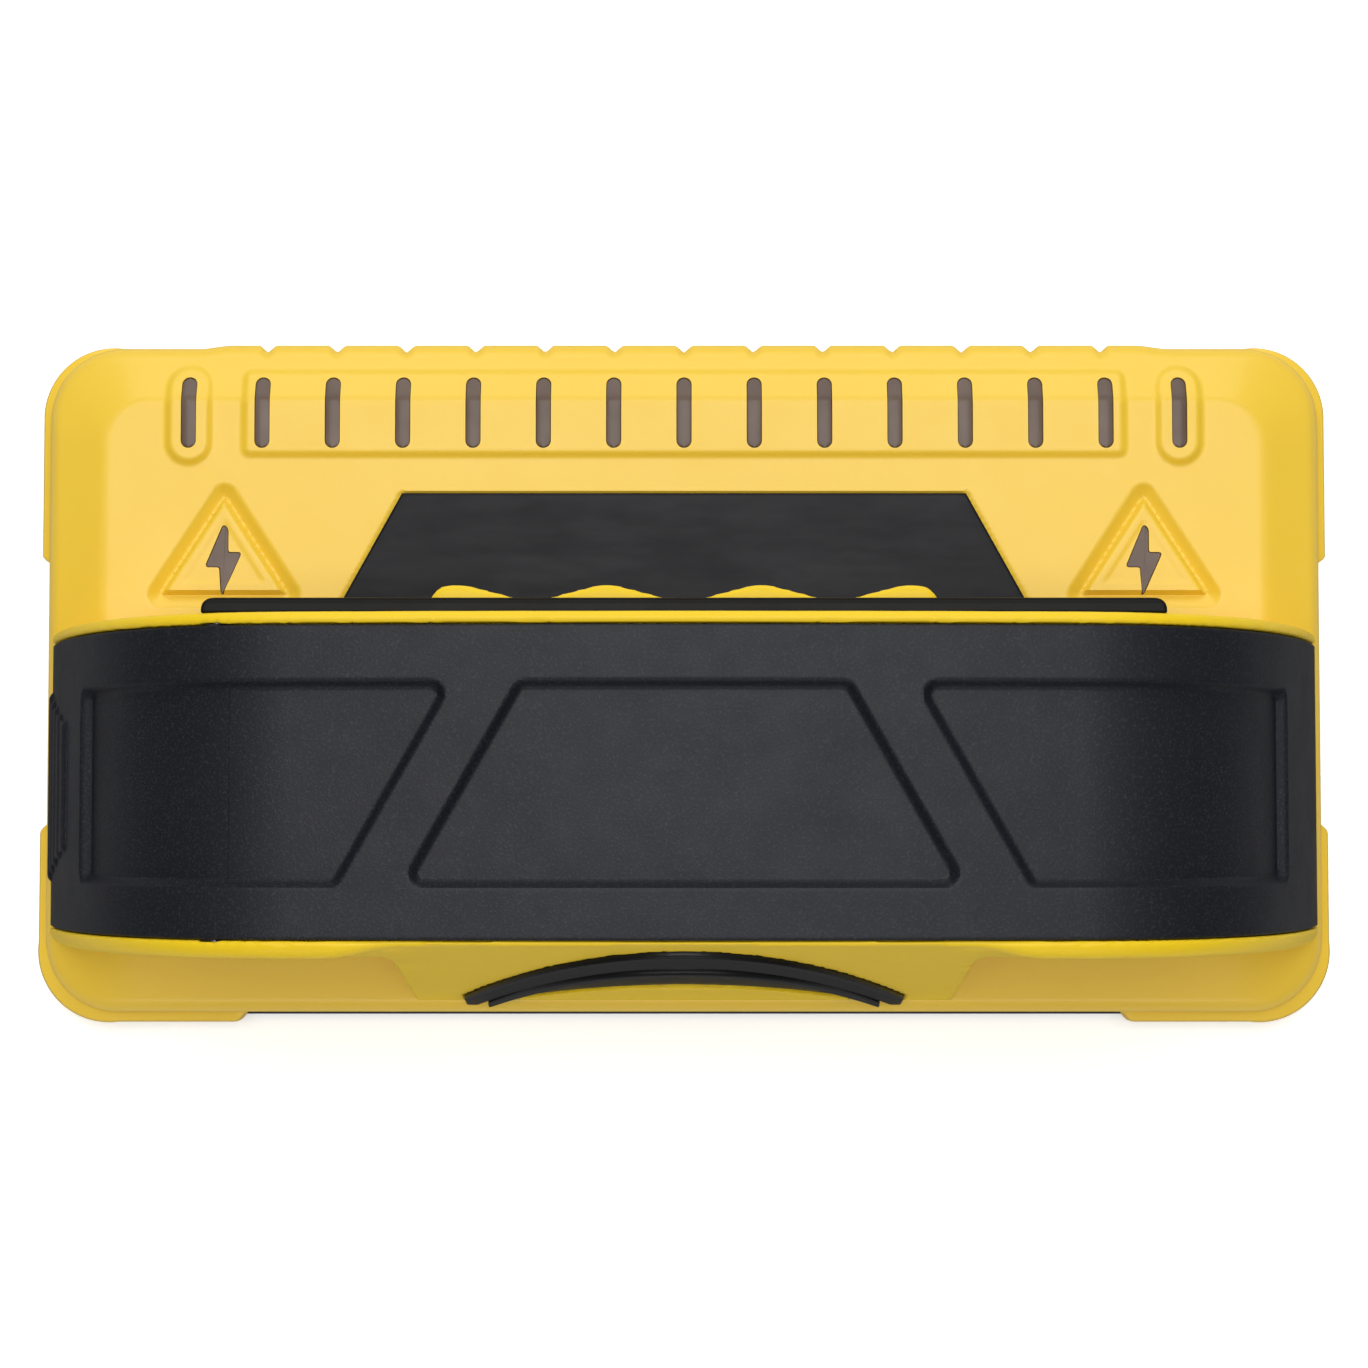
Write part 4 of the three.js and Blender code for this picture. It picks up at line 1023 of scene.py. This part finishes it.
def battery_door():
    """The end of the skin that opens, with a knuckle round the pin at each side."""
    skin = arch_shell("battery_hatch", -S_END, None, HATCH_NOSE, BLACK)
    turns = np.linspace(0, 2 * math.pi, 40, endpoint=False)
    spans = {"lower": (COVER_LOW[1] - 0.2, LATCH_Y[0]), "upper": (LATCH_Y[1], COVER_HIGH[1] + 0.2)}
    for name, (y0, y1) in spans.items():
        rings = []
        for y, r in ((y0, 0.85), (y0, KNUCKLE_RADIUS - 0.1), (y0 + 0.1, KNUCKLE_RADIUS),
                     (y1 - 0.1, KNUCKLE_RADIUS), (y1, KNUCKLE_RADIUS - 0.1), (y1, 0.85)):
            rings.append(np.stack([SEAM_X + r * np.cos(turns), np.full(40, y), PIN_Z + r * np.sin(turns)], 1))
        knuckle = loop_solid(f"hatch_knuckle_{name}", rings, BLACK, sharp=50, tube=True)
        recalculate_normals(knuckle)
        settle(knuckle, "battery_door", "textured_black_plastic")
    return settle(skin, "battery_door", "textured_black_plastic", "battery_door")


def latch_field(x, y, z):
    """Latch pad: a tapering plate on the arch with five ribs across it."""
    arch = arch_field(x, z)
    half = 12.9 + (8.8 - 12.9) * (z - 13.0) / 14.2
    outline = np.maximum(np.abs(y - LATCH_MIDDLE_Y) - half + 0.5, slab(z, *LATCH_Z))
    plate = both(both(arch - 0.35, -(arch + 1.9)), outline, 0.3)
    plate = np.where(x < 0, plate, 5.0)
    s_first, s_last = arch_length_at_z(13.6), arch_length_at_z(26.2)
    ribs = 5
    for k in range(ribs):
        share = k / (ribs - 1)
        s = s_first + (s_last - s_first) * share
        cx, cz = arch_point(np.array(s), np.array(-0.72))
        reach = 12.3 - 4.3 * share
        away = np.maximum(np.abs(y - LATCH_MIDDLE_Y) - reach, 0)
        bar = np.sqrt((x + cx) ** 2 + away**2 + (z - cz) ** 2) - 1.32
        plate = either(plate, bar, 0.15)
    return both(plate, base_height(x + LATCH_TRAVEL, y) + 0.15 - z)


def door_latch():
    obj = field_mesh("latch_pad", latch_field, (-93, -30, 11), (-82, 0, 29), 0.22, BLACK)
    return settle(obj, "door_latch", "textured_black_plastic", "door_latch")


def strip_field(x, y, z):
    """Rubber strip: quarter-round nose, and ends that turn back into the handle."""
    half = STRIP_HIGH[0]
    nose = rounded_rect(y, z, (STRIP_LOW[1] - 3, STRIP_LOW[2]), (STRIP_HIGH[1], STRIP_HIGH[2]), 1.1)
    plan = rounded_rect(x, y, (-half, STRIP_LOW[1] - 6), (half, STRIP_HIGH[1]), 1.7)
    return np.maximum(both(nose, plan, 0.3), RIM_HIGH_Y + 0.03 - y)


def finger_strip():
    obj = field_mesh("grip_strip", strip_field, STRIP_LOW - 0.5, STRIP_HIGH + 0.5, 0.25, RUBBER)
    return settle(obj, "base", "soft_black_strip", "finger_strip")


handle_body()
grip_cover()
battery_door()
door_latch()
finger_strip()


# ---- thumb button ----

def bezel_field(x, y, z):
    """Surround of the thumb button, standing out of the bridge."""
    face = bridge_face(y, z)
    height = along_press(y, z)
    ring = cut(crescent(x, height, BEZEL_CURVE, -0.03), under_curve(x, height, BUTTON_CURVE) - 0.18)
    body = both(ring, face - 0.8, 0.45)
    body = both(body, -(face + BEZEL_DEPTH))
    return both(body, base_height(x, y) + 0.1 - z)


def button_field(x, y, z):
    """Thumb button: a crescent with a bead along its top and a shallow slot."""
    face = bridge_face(y, z)
    height = along_press(y, z)
    plan = both(crescent(x, height, BUTTON_CURVE, -0.03), np.abs(x) - BUTTON_END_X)
    body = both(plan, face + 0.35, 0.3)
    bead = np.hypot(under_curve(x, height, BEAD_CURVE), face - 0.1) - 1.15
    body = either(body, np.maximum(bead, plan), 0.3)
    slot = np.maximum(np.abs(under_curve(x, height, SLOT_CURVE)) - 2.4, np.abs(x) - SLOT_END_X)
    body = cut(body, np.maximum(slot, -(face + 1.3)), 0.15)
    body = both(body, -(face + BUTTON_DEPTH))
    return both(body, base_height(x, y) + 0.9 - z)


def thumb_switch():
    bezel = field_mesh("button_surround", bezel_field, (-32, -47, 11), (32, -34, 53), 0.32, BUTTON_BLACK)
    settle(bezel, "base", "textured_black_plastic", "thumb_bezel")
    button = field_mesh("press_button", button_field, (-30, -47, 11), (30, -35, 44), 0.3, BUTTON_BLACK)
    settle(button, "thumb_button", "textured_black_plastic", "thumb_button")


thumb_switch()


# ---- windows ----

def window_bar(x, lift):
    """Bar with round ends whose top follows the housing's surface, set back by lift."""
    spare, end = 0.1, 1.2
    half = WINDOW_WIDTH / 2 - spare
    ys = np.concatenate([np.linspace(WINDOW_LOW_Y + spare, WINDOW_LOW_Y + end, 8)[:-1],
                         np.linspace(WINDOW_LOW_Y + end, WINDOW_HIGH_Y - end, 14)[:-1],
                         np.linspace(WINDOW_HIGH_Y - end, WINDOW_HIGH_Y - spare, 8)])
    across = np.linspace(-1, 1, 9)
    rows, columns = len(ys), len(across)
    centre_low, centre_high = WINDOW_LOW_Y + spare + half, WINDOW_HIGH_Y - spare - half
    over = np.maximum(np.maximum(centre_low - ys, ys - centre_high), 0)
    width = np.sqrt(np.maximum(half**2 - over**2, 0.0016))
    gx = x + width[:, None] * across[None, :]
    gy = np.repeat(ys[:, None], columns, 1)
    crown = 0.12 * (1 - across[None, :] ** 2) * np.ones_like(gx)
    gz = base_height(gx, gy) + lift + crown
    top = np.stack([gx, gy, gz], -1).reshape(-1, 3)
    border = grid_border(rows, columns)
    low = top[border].copy()
    low[:, 2] = 8.0
    points = np.concatenate([top, low])
    faces = grid_quads(rows, columns).tolist()
    foot = np.arange(len(border)) + len(top)
    faces.extend(ring_quads(border, foot)[:, ::-1].tolist())
    faces.append(foot[::-1].tolist())
    return points.tolist(), faces


def block(low, high):
    corners = [(low[0], low[1]), (high[0], low[1]), (high[0], high[1]), (low[0], high[1])]
    return prism(corners, low[2], high[2])


def light_windows():
    """The row of bars on one comb, two edge windows and two bolts."""
    parts = [window_bar(x, RAISED - 0.18) for x in LIGHT_X]
    parts.append(block((-61.5, 35, 7.6), (61.5, 42.5, 8.4)))
    comb = merge_parts("window_comb", parts, LENS, sharp=60)
    settle(comb, "base", "smoked_lens", "light_pipe")
    for side, name in ((-1, "left"), (1, "right")):
        x = side * EDGE_LIGHT_X
        parts = [window_bar(x, RAISED * PAD_RISE - 0.2), block((x - 2.6, 35, 7.6), (x + 2.6, 42.5, 8.4))]
        edge = merge_parts(f"edge_light_{name}", parts, LENS, sharp=60)
        settle(edge, "base", "smoked_lens", f"edge_window_{name}")
        x = side * SIGN_X
        top = PLATEAU_Z - 0.28
        parts = [prism(bolt_corners(x, 0.0), 10.2, top), block((x - 4, 11, 10), (x + 4, 23, 11.6))]
        sign = merge_parts(f"bolt_light_{name}", parts, LENS, sharp=60)
        settle(sign, "base", "smoked_lens", f"bolt_window_{name}")


light_windows()


# ---- pieces kept from the frame ----

SLOT_MATERIALS = {
    "circuit_board": BOARD, "chip_black": CHIP, "white_plastic": WHITE_PLASTIC, "led_body": LED_BODY,
    "cell_jacket": JACKET, "contact_steel": CONTACT, "steel_pin": PIN, "screw_steel": SCREW,
}


def dress_kept_nodes():
    """Procedural materials and a small bevel for the inner pieces that keep their CAD shape."""
    for entry in frame["record"]["subparts"]:
        material = SLOT_MATERIALS.get(entry["material_slot"])
        if material is None:
            continue
        obj = frame["nodes"][entry["node"]]
        obj.data.materials.clear()
        obj.data.materials.append(material)
        bevel = obj.modifiers.new("edge", "BEVEL")
        bevel.width = 0.08 * MM
        bevel.segments = 2
        bevel.limit_method = "ANGLE"


dress_kept_nodes()
